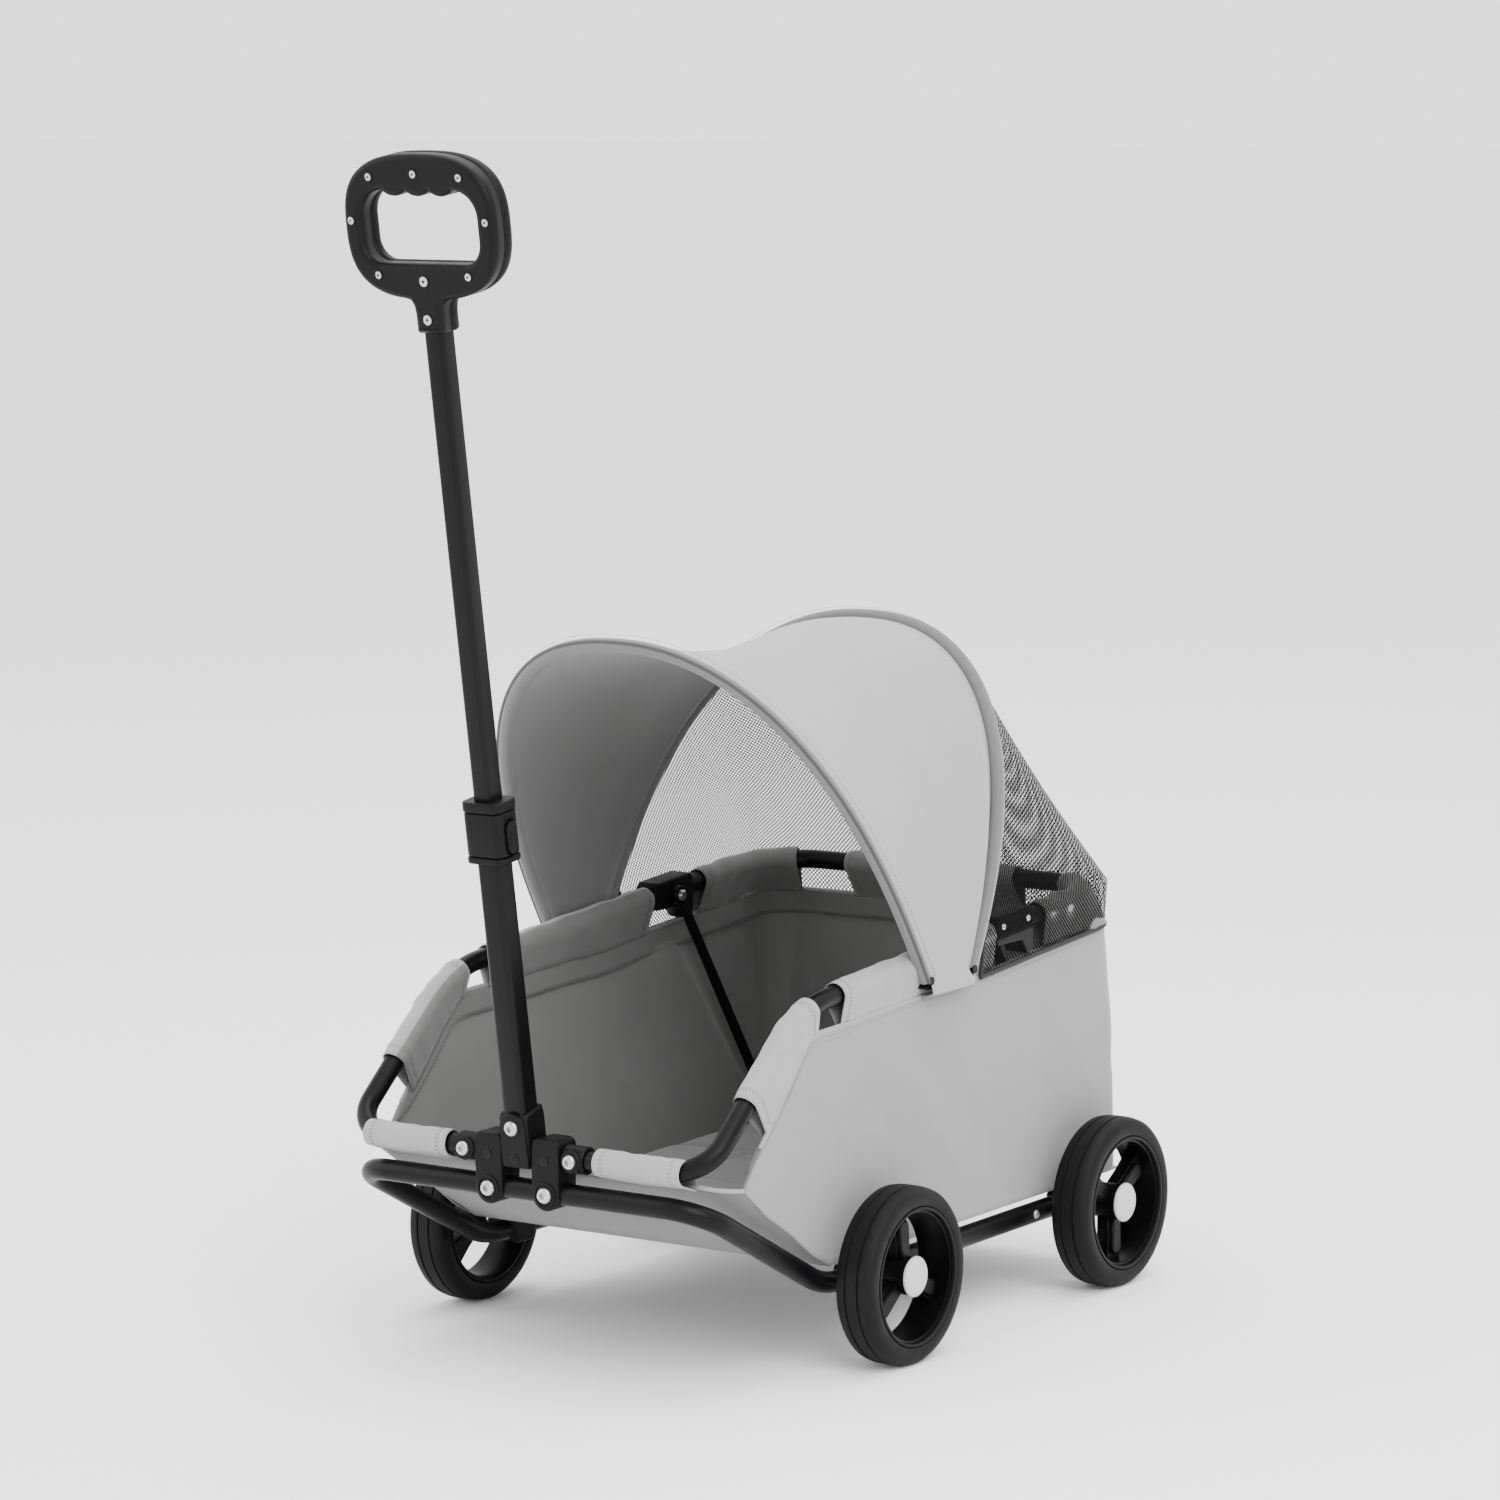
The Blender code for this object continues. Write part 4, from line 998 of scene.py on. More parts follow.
@dataclass
class UpperFrame:
    """The closed loop that turns in the hub, with its rail and bow brackets and the two stay bars."""

    radius: float = 8.0
    stay_x: float = 152.0
    stay_top: tuple[float, float] = (215.0, 308.0)
    stay_foot: tuple[float, float] = (346.7, 100.0)
    stay_width: float = 9.0

    def build(self) -> None:
        """Builds the loop, its brackets and the stays."""
        loop = sweep("upper_tube", metres(whole_loop(upper_path(14))), self.radius, POWDER_COAT, closed=True, sides=32)
        present(loop, Body.UPPER, Slot.TUBE, "upper_frame")
        for side, sign in (("left", -1), ("right", 1)):
            self.build_rail_bracket(side, sign)
            self.build_bow_bracket(side, sign)
            self.build_stay(side, sign)
        for name, bow, body in (("front", FRONT_BOW, Body.CANOPY), ("rear", REAR_BOW, Body.UPPER)):
            arch = bow_arch(bow, 0.0, 140)
            feet = np.array([[6.0, 0, 0], [3.0, 0, 0]])
            path = np.vstack([arch[0] + feet, arch, arch[-1] - feet[::-1]])
            wire = sweep(f"{name}_bow_wire", metres(path), 3.5, POWDER_COAT, sides=16)
            present(wire, body, Slot.BAR, f"{name}_bow")

    def build_rail_bracket(self, side: str, sign: int) -> None:
        """Builds the moulded block on the rail that a stay hooks on to."""
        y, z = self.stay_top
        outline = [(y - 26, z - 11), (y - 26, z + 8), (y - 22, z + 12), (y + 25, z + 15.5), (y + 29, z + 12)]
        outline += [(y + 29, z - 19), (y + 25, z - 24), (y + 19, z - 22), (y + 12, z - 11)]
        shape = fillet_flat([(u, v) for u, v in outline], [3, 2, 3, 3, 3, 4, 2.2, 2, 4])
        block = plate(f"rail_block_{side}", [shape], (sign * 157.6, sign * 178.2), "X", BLACK_MOULDING, 1.6)
        present(block, Body.UPPER, Slot.PLASTIC, f"rail_bracket_{side}")
        for k, (dy, dz) in enumerate(((-17, 4), (20, 6))):
            centre = (sign * 178.0, y + dy, z + dz)
            bolt_head(f"rail_block_screw_{side}_{k}", centre, (sign, 0, 0), 2.8, Body.UPPER)
        pin = [(-5.2, 0.001), (-5.2, 3.0), (2.8, 3.0), (2.8, 5.0), (4.4, 4.7), (5.6, 3.4), (6.0, 0.001)]
        stud = lathe(f"stay_hook_stud_{side}", pin, (sign * 152.0, y, z), (-sign, 0, 0), ZINC_PLATE, 36)
        present(stud, Body.UPPER, Slot.BOLT, f"stay_stud_{side}")

    def build_bow_bracket(self, side: str, sign: int) -> None:
        """Builds the channel under the rail that the bows' feet stand in."""
        outline = [(170.5, 279.5), (184.0, 279.5), (184.0, 288.0), (182.6, 288.0), (182.6, 282.0), (170.5, 282.0)]
        outline = fillet_flat([(sign * u, v) for u, v in outline], 0.5, 3)
        span = (FRONT_BOW[0][0] - 2.0, REAR_BOW[0][0] + 2.0)
        block = plate(f"bow_channel_{side}", [outline], span, "Y", BLACK_MOULDING, 0.5)
        present(block, Body.UPPER, Slot.PLASTIC, f"bow_bracket_{side}")

    def build_stay(self, side: str, sign: int) -> None:
        """Builds a flat stay bar: round eyes, a pivot hole at the foot and an open hook at the top."""
        top, foot = np.array(self.stay_top), np.array(self.stay_foot)
        along = (foot - top) / np.linalg.norm(foot - top)
        span = (sign * (self.stay_x - 2.0), sign * (self.stay_x + 2.0))
        reach = (sign * (self.stay_x - 6.0), sign * (self.stay_x + 6.0))
        angle = math.atan2(along[1], along[0])
        bend = math.asin(self.stay_width / 16.0)
        arcs = []
        for centre, start in ((top, angle + bend), (foot, angle - math.pi + bend)):
            turns = np.linspace(start, start + 2 * math.pi - 2 * bend, 25)
            arcs += [(centre[0] + 8 * math.cos(t), centre[1] + 8 * math.sin(t)) for t in turns]
        bar = plate(f"stay_bar_{side}", [np.array(arcs)], span, "X", POWDER_COAT, 0.7)
        y, z = self.stay_top
        mouth = np.array([(y, z - 3.5), (y + 18, z - 7.5), (y + 18, z + 1.5), (y, z + 3.5)])
        cutters = [
            plate("hook_seat", [circle(y, z, 3.5)], reach, "X", POWDER_COAT, 0.1),
            plate("hook_mouth", [mouth], reach, "X", POWDER_COAT, 0.1),
            plate("foot_hole", [circle(*self.stay_foot, 3.4)], reach, "X", POWDER_COAT, 0.1),
        ]
        present(carved(bar, cutters), f"stay_{side}", Slot.BAR, f"stay_{side}")


@dataclass
class Hub:
    """The moulded joint between the two front rails that the pull handle turns in."""

    front: float = -217.0
    back: float = -193.0
    bracket: tuple[float, float] = (14.0, 40.0)
    eye: tuple[float, float, float] = (26.9, 151.8, 12.5)
    collar: tuple[float, float] = (40.6, 60.6)
    knuckle: float = 13.2

    def build(self) -> None:
        """Builds the brackets, the collars and the handle's knuckle."""
        for side, sign in (("left", -1), ("right", 1)):
            self.build_bracket(side, sign)
            self.build_collar(side, sign)
        self.build_knuckle()

    def eye_ring(self, name: str, centre: Sequence[float], radius: float, body: Body) -> None:
        """Puts a raised ring round a bolt."""
        ring = [(-0.5, radius - 2.2), (-0.5, radius), (0.7, radius - 0.2), (1.0, radius - 1.1), (0.7, radius - 2.0)]
        present(lathe(name, ring, centre, (0, -1, 0), BLACK_MOULDING, 48), body, Slot.PLASTIC)

    def build_bracket(self, side: str, sign: int) -> None:
        """Builds the fixed bracket that joins the two rails, with its bolt and screw hole."""
        x, z, r = self.eye
        inner, outer = self.bracket
        turns = [math.radians(angle) for angle in range(-180, 1, 9)]
        lobe = [(x + r * math.cos(t), z + r * math.sin(t)) for t in turns]
        top = fillet([(outer, 168, 0), (outer, 195, 0), (inner, 195, 0), (inner, 168, 0)], [0, 6, 6, 0])[:, :2]
        outline = np.array([(sign * u, v) for u, v in [*lobe, (outer - 0.6, 166.0), *top, (inner, 166.0)]])
        block = plate(f"hub_block_{side}", [outline], (self.front, self.back), "Y", BLACK_MOULDING, 1.5)
        present(block, Body.CHASSIS, Slot.PLASTIC, f"hub_bracket_{side}")
        self.eye_ring(f"hub_eye_{side}", (sign * x, self.front, z), 10.4, Body.CHASSIS)
        head = (sign * x, self.front, z)
        bolt_head(f"hub_bolt_head_{side}", head, (0, -1, 0), 6.4, Body.CHASSIS, f"hub_bolt_{side}")
        self.screw_recess(f"hub_screw_{side}", (sign * x, self.front, 178.0), Body.CHASSIS)

    def screw_recess(self, name: str, centre: Sequence[float], body: Body) -> None:
        """Puts a dark sunken screw in a small ring."""
        ring = [(-0.6, 0.001), (-0.6, 3.6), (0.5, 3.5), (0.7, 2.9), (0.4, 2.3), (0.05, 2.1), (0.05, 0.001)]
        present(lathe(name, ring, centre, (0, -1, 0), DARK_STEEL, 32), body, Slot.BAR)

    def build_collar(self, side: str, sign: int) -> None:
        """Builds the collar of the upper frame beside the bracket, with its boss and bolt."""
        y, z = HINGE
        low, high = self.collar
        across = high - low
        ring = [(0.0, 8.3), (0.0, 9.8), (1.0, 10.8), (across - 1.0, 10.8), (across, 9.8), (across, 8.3)]
        sleeve = lathe(f"hub_sleeve_{side}", ring, (sign * low, y, z), (sign, 0, 0), BLACK_MOULDING, 56)
        present(sleeve, Body.UPPER, Slot.PLASTIC, f"hub_collar_{side}")
        middle_x = sign * (low + high) / 2
        out = y - self.front
        boss = [(0.0, 0.001), (0.0, 9.2), (out - 1.0, 9.2), (out, 8.2), (out, 0.001)]
        boss_piece = lathe(f"hub_boss_{side}", boss, (middle_x, y, z), (0, -1, 0), BLACK_MOULDING, 48)
        present(boss_piece, Body.UPPER, Slot.PLASTIC)
        head = (middle_x, self.front, z)
        bolt_head(f"hub_boss_bolt_{side}", head, (0, -1, 0), 5.8, Body.UPPER, f"collar_bolt_{side}")

    def build_knuckle(self) -> None:
        """Builds the end fitting of the pull handle, which turns on the front rail."""
        y, z = HINGE
        x = self.knuckle
        side = [(y - 12, z - 4), (y - 12, z + 30), (y - 10, z + 34)]
        side += [(y + 10.8, z + 37), (y + 12.5, z + 30), (y + 12.5, z - 2)]
        under = [(y + 11.6 * math.cos(t), z + 11.6 * math.sin(t)) for t in np.linspace(-0.2, -math.pi + 0.4, 14)]
        outline = np.array([*side, *under])
        stem = plate("handle_knuckle", [outline], (-x, x), "X", BLACK_MOULDING, 2.2, leaning)
        present(stem, Body.POLE, Slot.PLASTIC, "pole_knuckle")
        arch = [(12.0 * math.cos(t), z + 23.0 + 12.0 * math.sin(t)) for t in np.linspace(0, math.pi, 21)]
        plate_outline = np.array([*arch, (-12.4, z - 8.0), (12.4, z - 8.0)])
        face = plate("handle_knuckle_face", [plate_outline], (y - 13.6, y - 10), "Y", BLACK_MOULDING, 1.0, leaning)
        present(face, Body.POLE, Slot.PLASTIC)
        head = (0, y - 13.5, z + 23.6)
        bolt_head("handle_bolt", head, (0, -1, 0), 6.2, Body.POLE, "pole_bolt", placed=leaning)
        ring = [(-0.6, 0.001), (-0.6, 3.6), (0.5, 3.5), (0.7, 2.9), (0.4, 2.3), (0.05, 2.1), (0.05, 0.001)]
        sunk = lathe("handle_screw", ring, (0, y - 13.5, z - 1.0), (0, -1, 0), DARK_STEEL, 32, placed=leaning)
        present(sunk, Body.POLE, Slot.BAR)


@dataclass
class PullHandle:
    """The telescoping pole, its clamp collar with a push button, and the ring grip."""

    outer_side: float = 21.0
    inner_side: float = 17.5
    wall: float = 1.3
    outer_span: tuple[float, float] = (16.0, 268.0)
    clamp_span: tuple[float, float] = (232.0, 280.0)
    inner_span: tuple[float, float] = (236.0, 655.0)
    neck_bottom: float = 637.0
    grip_centre: float = 716.0
    grip_half: tuple[float, float] = (69.0, 54.0)
    hole_half: tuple[float, float] = (53.0, 27.0)
    depth: float = 25.0
    bump: tuple[float, float, int] = (32.0, 4.4, 3)
    screws: tuple = ((0.0, 647.6), (0.0, 676.2), (41.4, 680.3), (61.9, 720.6), (41.6, 753.2), (0.0, 755.5))

    def build(self) -> None:
        """Builds the pole from the hub up."""
        self.build_tube("pole_outer", self.outer_side, 4.6, self.outer_span, Body.POLE, "outer_tube")
        self.build_tube("pole_inner", self.inner_side, 4.0, self.inner_span, Body.HANDLE, "inner_tube")
        self.build_clamp()
        self.build_grip()

    def build_tube(self, name: str, side: float, corner: float, span: Sequence[float], body: Body, node: str) -> None:
        """Builds a rounded square tube along the pole."""
        rings = []
        for half, radius in ((side / 2, corner), (side / 2 - self.wall, corner - self.wall)):
            square = [(-half, -half), (half, -half), (half, half), (-half, half)]
            rings.append(fillet_flat([(x, y + HINGE[0]) for x, y in square], radius))
        low, high = (HINGE[1] + w for w in span)
        present(plate(name, rings, (low, high), "Z", POWDER_COAT, 0.3, leaning), body, Slot.TUBE, node)

    def build_clamp(self) -> None:
        """Builds the clamp collar in three moulded bands, and its push button in an oval recess."""
        y, z = HINGE
        low, high = (z + w for w in self.clamp_span)
        bands = (("low", low, low + 5.0, 18.0, 14.0), ("body", low + 5.6, high - 8.6, 17.6, 13.6))
        for name, start, end, half_x, half_y in (*bands, ("cap", high - 8.0, high, 18.0, 14.0)):
            square = [(-half_x, -half_y), (half_x, -half_y), (half_x, half_y), (-half_x, half_y)]
            ring = fillet_flat([(u, v + y) for u, v in square], 7.0)
            band = plate(f"clamp_{name}", [ring], (start, end), "Z", BLACK_MOULDING, 1.3, leaning)
            if name == "body":
                middle_z = z + self.clamp_span[0] + 18
                oval = [(y - 6.5, middle_z - 12), (y + 6.5, middle_z - 12)]
                oval += [(y + 6.5, middle_z + 15), (y - 6.5, middle_z + 15)]
                pocket = plate("pocket", [fillet_flat(oval, 6.0)], (14.5, 30.0), "X", BLACK_MOULDING, 0.1, leaning)
                carved(band, [pocket])
            present(band, Body.POLE, Slot.PLASTIC, *(["clamp_collar"] if name == "body" else []))
        middle_z = z + self.clamp_span[0] + 19.5
        oval = [(y - 5.8, middle_z - 12.6), (y + 5.8, middle_z - 12.6)]
        oval += [(y + 5.8, middle_z + 12.6), (y - 5.8, middle_z + 12.6)]
        button = plate("push_button", [fillet_flat(oval, 5.5)], (17.3, 20.4), "X", BLACK_MOULDING, 0.9, leaning)
        present(button, Body.LATCH, Slot.PLASTIC, "latch_button")
        for k in range(3):
            ridge_z = middle_z + 4.2 * (k - 1)
            bar = [(y - 3.6, ridge_z - 0.7), (y + 3.6, ridge_z - 0.7)]
            bar += [(y + 3.6, ridge_z + 0.7), (y - 3.6, ridge_z + 0.7)]
            outline = [fillet_flat(bar, 0.6)]
            ridge = plate(f"push_button_ridge_{k}", outline, (20.0, 20.9), "X", BLACK_MOULDING, 0.3, leaning)
            present(ridge, Body.LATCH, Slot.PLASTIC)

    def grip_outline(self) -> np.ndarray:
        """Gives the ring's outer edge and its flared neck, as (x, height above the hinge)."""
        wide, tall = self.grip_half
        ring = []
        for k in range(120):
            turn = -math.pi / 2 + 2 * math.pi * (k + 0.5) / 120
            across, rise = math.cos(turn), math.sin(turn)
            x = wide * math.copysign(abs(across) ** 0.72, across)
            ring.append((x, self.grip_centre + tall * math.copysign(abs(rise) ** 0.72, rise)))
        neck = 12.0
        ring = [p for p in ring if abs(p[0]) > neck + 8 or p[1] > self.grip_centre]
        flare = [(-neck - 3.4, 661.4), (-neck - 0.9, 657.4), (-neck, 651.0), (-neck, self.neck_bottom + 1.6)]
        flare += [(-neck + 1.6, self.neck_bottom)]
        return np.array(ring + flare + [(-x, z) for x, z in reversed(flare)])

    def grip_hole(self) -> np.ndarray:
        """Gives the hand opening, with finger bumps along its top edge."""
        wide, tall = self.hole_half
        reach, deep, count = self.bump
        path = fillet_flat([(-wide, -tall), (wide, -tall), (wide, tall), (-wide, tall)], [16, 16, 20, 20], 12)
        outline = []
        for x, v in path:
            outline.append((x, v))
            if abs(v - tall) < 1e-3 and x > 0:
                for u in np.linspace(reach, -reach, 61):
                    share = (u + reach) / (2 * reach) * count
                    outline.append((u, tall - deep * abs(math.sin(math.pi * share)) ** 0.8))
        return np.array([(x, self.grip_centre + v) for x, v in outline])

    def build_grip(self) -> None:
        """Builds the ring grip as two moulded halves with a parting line, and its screws."""
        y, z = HINGE
        half = self.depth / 2
        shapes = [np.array([(u, v + z) for u, v in shape]) for shape in (self.grip_outline(), self.grip_hole())]
        for name, sign in (("front", -1), ("rear", 1)):
            shell = plate(f"grip_half_{name}", shapes, (y - half, y + half), "Y", BLACK_MOULDING, 4.6, leaning)
            split = leaning((0, y + sign * 0.2, z + 700))
            facing = leaning((0, y + sign, z + 700)) - leaning((0, y, z + 700))
            shape = bmesh.new()
            shape.from_mesh(shell.data)
            parts = [*shape.verts, *shape.edges, *shape.faces]
            made = bmesh.ops.bisect_plane(shape, geom=parts, plane_co=split, plane_no=facing, clear_inner=True)
            rim = [edge for edge in made["geom_cut"] if isinstance(edge, bmesh.types.BMEdge)]
            bmesh.ops.triangle_fill(shape, edges=rim, use_beauty=True)
            bmesh.ops.recalc_face_normals(shape, faces=shape.faces)
            shape.to_mesh(shell.data)
            shape.free()
            present(shell, Body.HANDLE, Slot.PLASTIC, f"grip_{name}")
        for x, w in self.screws:
            for sign in (-1, 1) if x else (1,):
                name = f"grip_screw_{int(w)}_{'left' if sign < 0 else 'right'}"
                self.build_screw(name, (sign * x, y - half, z + w), 4.0 if x == 0 and w < 700 else 3.0)

    def build_screw(self, name: str, centre: Sequence[float], radius: float) -> None:
        """Sets a cross-head screw in a ring on the grip's face."""
        ring = [(-0.8, radius), (-0.8, radius + 1.2), (0.25, radius + 1.1), (0.45, radius + 0.6), (0.2, radius)]
        seat = lathe(f"{name}_seat", ring, centre, (0, -1, 0), BLACK_MOULDING, 36, placed=leaning)
        present(seat, Body.HANDLE, Slot.PLASTIC)
        dome = [(-0.8, 0.001), (-0.8, radius * 0.96), (0.1, radius * 0.92), (0.5, radius * 0.66), (0.55, radius * 0.3)]
        dome += [(-0.3, radius * 0.22), (-0.4, 0.001)]
        head = lathe(name, dome, centre, (0, -1, 0), ZINC_PLATE, 24, placed=leaning)
        present(head, Body.HANDLE, Slot.BOLT)


# ---------------------------------------------------------------- cloth


def tag(piece: bpy.types.Object, weights: np.ndarray) -> None:
    """Stores how far each point follows the second body, before the cloth gets its thickness."""
    piece.data.attributes.new("travel", "FLOAT", "POINT").data.foreach_set("value", weights.astype(np.float32).ravel())


def bent(
    piece: bpy.types.Object, first: Body, second: Body, slot: Slot, *replaced: str
) -> bpy.types.Object:
    """Takes off the shares that tag() stored on a piece without using them, fixes it in place, and reports it under
    both bodies.
    """
    shares = np.zeros(len(piece.data.vertices), np.float32)
    piece.data.attributes["travel"].data.foreach_get("value", shares)
    piece.data.attributes.remove(piece.data.attributes["travel"])
    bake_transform(piece)
    note(piece, f"{first.value} and {second.value}", slot, *replaced)
    return piece


def bent_cloth(
    name: str, grid: np.ndarray, finish: WovenFinish, weights: np.ndarray, thick: float = 1.0, inward: bool = False
) -> bpy.types.Object:
    """Skins a grid as cloth that knows its shares."""
    piece = surface(name, grid, finish)
    tag(piece, weights)
    wall = piece.modifiers.new("thickness", "SOLIDIFY")
    wall.thickness = thick * MM
    wall.offset = -1.0 if inward else 1.0
    return baked(piece)


@dataclass
class Basket:
    """The hammock of cloth between the two frames: a wrap-round wall, a sloping front, a floor and a mat."""

    rows: int = 44
    rear_bottom: float = 386.0
    rear_top: float = 384.5
    corner_bottom: float = 14.0
    corner_top: float = 32.0
    bulge: float = 2.2
    lining_gap: float = 2.6
    hem: float = 20.0
    stitches: Seams = field(default_factory=Seams)
    lining_stitches: Seams = field(default_factory=Seams)

    def rim_path(self) -> np.ndarray:
        """Gives the right half of the wall's top edge, from its front tip to the middle of the rear."""
        front = np.array([(-139, 190), (-100, 232), (-83, 252), (-72, 263), (-58, 266), (-17, 267), (81, 272)])
        rear = np.array([(126, 272), (242, 282), (self.rear_top - self.corner_top, 289.5)])
        side = resample(np.array([(WALL_X, y, z) for y, z in np.vstack([front, rear])], float), 96)
        turn = np.linspace(0, math.pi / 2, 15)[1:]
        x, y = WALL_X - self.corner_top, self.rear_top - self.corner_top
        bend = [(x + self.corner_top * math.cos(t), y + self.corner_top * math.sin(t), 290.5) for t in turn]
        back = np.linspace((x, self.rear_top, 291.0), (0, self.rear_top, 292.0), 37)[1:]
        return np.vstack([side, bend, back])

    def foot_path(self) -> np.ndarray:
        """Gives the right half of the wall's bottom edge, matching rim_path() point by point."""
        front = [(-163, 161), (-132, 136), (-100, 116), (-70, 94), (-47, 82)]
        front.append((self.rear_bottom - self.corner_bottom, 81))
        side = resample(np.array([(WALL_X, y, z) for y, z in front]), 96)
        turn = np.linspace(0, math.pi / 2, 15)[1:]
        x, y = WALL_X - self.corner_bottom, self.rear_bottom - self.corner_bottom
        bend = [(x + self.corner_bottom * math.cos(t), y + self.corner_bottom * math.sin(t), 81.5) for t in turn]
        back = np.linspace((x, self.rear_bottom, 82.0), (0, self.rear_bottom, 82.0), 37)[1:]
        return np.vstack([side, bend, back])

    def wall_grid(self) -> tuple[np.ndarray, np.ndarray]:
        """Gives the wall's outer face as a grid of metres, rows upward, and each row's share of the height."""
        foot, rim = self.foot_path(), self.rim_path()
        share = np.linspace(0, 1, self.rows)
        half = foot[None] * (1 - share[:, None, None]) + rim[None] * share[:, None, None]
        grid = metres(np.concatenate([half, mirrored(half)[:, 1:]], axis=1))
        cols = grid.shape[1]
        along = np.linspace(0, 1, cols)[None]
        held = np.sin(math.pi * share)[:, None] ** 0.7 * np.minimum(1, np.minimum(along, 1 - along) * 9) ** 0.8
        wave = 1.0 * ripple(grid, 0.11, 11) + 0.35 * ripple(grid, 0.035, 12)
        grid = grid + normals_of(grid) * ((self.bulge + wave) * held * MM)[..., None]
        return grid, share

    def build(self) -> None:
        """Builds the wall, its lining and hem, the front slope, the floor and the mat."""
        outer, share = self.wall_grid()
        weights = np.repeat(share[:, None], outer.shape[1], axis=1)
        wall = bent_cloth("basket_wall", outer, BASKET_WEAVE, weights, 1.0, inward=True)
        bent(wall, Body.CHASSIS, Body.UPPER, Slot.BASKET, "side_panel_left", "side_panel_right", "rear_panel")
        lined = outer - normals_of(outer) * ((self.lining_gap + self.fold(outer)) * MM)[..., None]
        lining = bent_cloth("basket_wall_lining", lined[:, ::-1], LINING_WEAVE, weights, 0.8, inward=True)
        bent(lining, Body.CHASSIS, Body.UPPER, Slot.LINING)
        self.build_hems(outer, lined)
        self.build_slope()
        self.build_floor()

    def fold(self, grid: np.ndarray) -> np.ndarray:
        """Gives how far the lining is drawn in along the soft fold that each stay pulls into it."""
        y, z = grid[..., 1] / MM - AXLE_Y - 215.0, grid[..., 2] / MM - 280.0
        off = y * 0.804 + z * 0.594
        wide = np.where(off < 0, 42.0, 7.0)
        beside = np.abs(grid[..., 0]) > (WALL_X - 8.0) * MM
        return 6.5 * np.exp(-((off / wide) ** 2)) * beside * np.clip(-z / 30.0, 0, 1)

    def build_hems(self, outer: np.ndarray, lined: np.ndarray) -> None:
        """Builds the folded band inside the wall's rim, the piping on it, and the rows of stitches."""
        top, below = lined[-1], lined[0]
        drop = np.linalg.norm(top - below, axis=1)[:, None]
        steps = np.linspace(1, 0, 6)[:, None, None]
        band = top[None] + (below - top)[None] / drop[None] * self.hem * MM * steps
        inside = normals_of(lined)[-1] * 1.9 * MM
        band = (band - inside[None])[:, ::-1]
        hem = cloth("basket_rim_hem", band, DARK_HEM_AND_PAINTED_SLEEVE_SHADE, 0.9, inward=True)
        present(hem, Body.UPPER, Slot.LINING)
        middle = (outer[-1] + lined[-1]) / 2
        piping = sweep("basket_rim_piping", middle, 1.7, PALE_TAPE, sides=10, flat=1.2)
        present(piping, Body.UPPER, Slot.CANOPY)
        edge = outer[-1] + normals_of(outer)[-1] * 0.35 * MM
        down = (outer[0] - outer[-1]) / np.linalg.norm(outer[0] - outer[-1], axis=1)[:, None]
        self.stitches.add(edge + down * 4.0 * MM, edge + down * 7.5 * MM)
        self.lining_stitches.add(band[0] - normals_of(band)[0] * -0.6 * MM + down[::-1] * -2.0 * MM)

    def slope_grid(self) -> np.ndarray:
        """Gives the outer face of the sloping front, columns to the right and rows upward, in metres."""
        cols, rows = 81, 30
        x = np.linspace(-WALL_X, WALL_X, cols)
        edge = np.abs(x)
        top_y = np.interp(edge, [0, 150, 160, 168, WALL_X], [-190, -190, -184, -174, -163])
        top_z = np.interp(edge, [0, 150, 160, 168, WALL_X], [166, 166, 164, 162, 161])
        top = np.stack([x, top_y, top_z], 1)
        foot = np.stack([x, np.full(cols, -47.0), np.full(cols, 82.0)], 1)
        share = np.linspace(0, 1, rows)[:, None, None]
        grid = metres(foot[None] * (1 - share) + top[None] * share)
        across = np.sin(math.pi * np.linspace(0, 1, cols))[None] ** 0.5
        held = across * np.sin(math.pi * np.linspace(0, 1, rows))[:, None] ** 0.8
        wave = 7.5 + 1.3 * ripple(grid, 0.09, 21)
        return grid + normals_of(grid) * (wave * held * MM)[..., None]

    def build_slope(self) -> None:
        """Builds the sagging slope at the front: cloth outside, darkened as painted shade for its downward face, and
        lining inside.
        """
        grid = self.slope_grid()
        # The outside cloth's darker colour is painted shade.
        outside = cloth("basket_slope", grid, SLOPE_PAINTED_SHADE_WEAVE, 1.0, inward=True)
        present(outside, Body.CHASSIS, Slot.BASKET, "front_panel")
        inner = (grid - normals_of(grid) * self.lining_gap * MM)[:, ::-1]
        lining = cloth("basket_slope_lining", inner, LINING_WEAVE, 0.8, inward=True)
        present(lining, Body.CHASSIS, Slot.LINING)
        edge = grid[-1] + normals_of(grid)[-1] * 0.3 * MM
        piping = sweep("basket_slope_piping", grid[-1] - normals_of(grid)[-1] * 1.2 * MM, 1.8, PALE_TAPE, sides=10)
        present(piping, Body.CHASSIS, Slot.CANOPY)
        self.stitches.add(edge + (grid[0] - grid[-1]) / 170.0 * 5.0)

    def build_floor(self) -> None:
        """Builds the floor cloth, its lining and the padded mat."""
        cols, rows = 41, 51
        x = np.linspace(-WALL_X + 1.0, WALL_X - 1.0, cols)
        y = np.linspace(self.rear_bottom - 2.0, -46.0, rows)
        flat_grid = np.stack(np.broadcast_arrays(x[None, :], y[:, None], np.full((1, 1), 81.0)), 2).astype(float)
        held = np.sin(math.pi * np.linspace(0, 1, cols))[None] * np.sin(math.pi * np.linspace(0, 1, rows))[:, None]
        grid = metres(flat_grid)
        grid[..., 2] -= (3.5 + 0.8 * ripple(grid, 0.08, 31)) * held * MM
        under = cloth("basket_floor", grid, BASKET_WEAVE, 1.0, inward=True)
        present(under, Body.CHASSIS, Slot.BASKET, "floor_panel")
        inner = (grid + np.array([0, 0, 1.6 * MM]))[:, ::-1]
        lining = cloth("basket_floor_lining", inner, LINING_WEAVE, 0.8, inward=True)
        present(lining, Body.CHASSIS, Slot.LINING)
        self.build_mat()

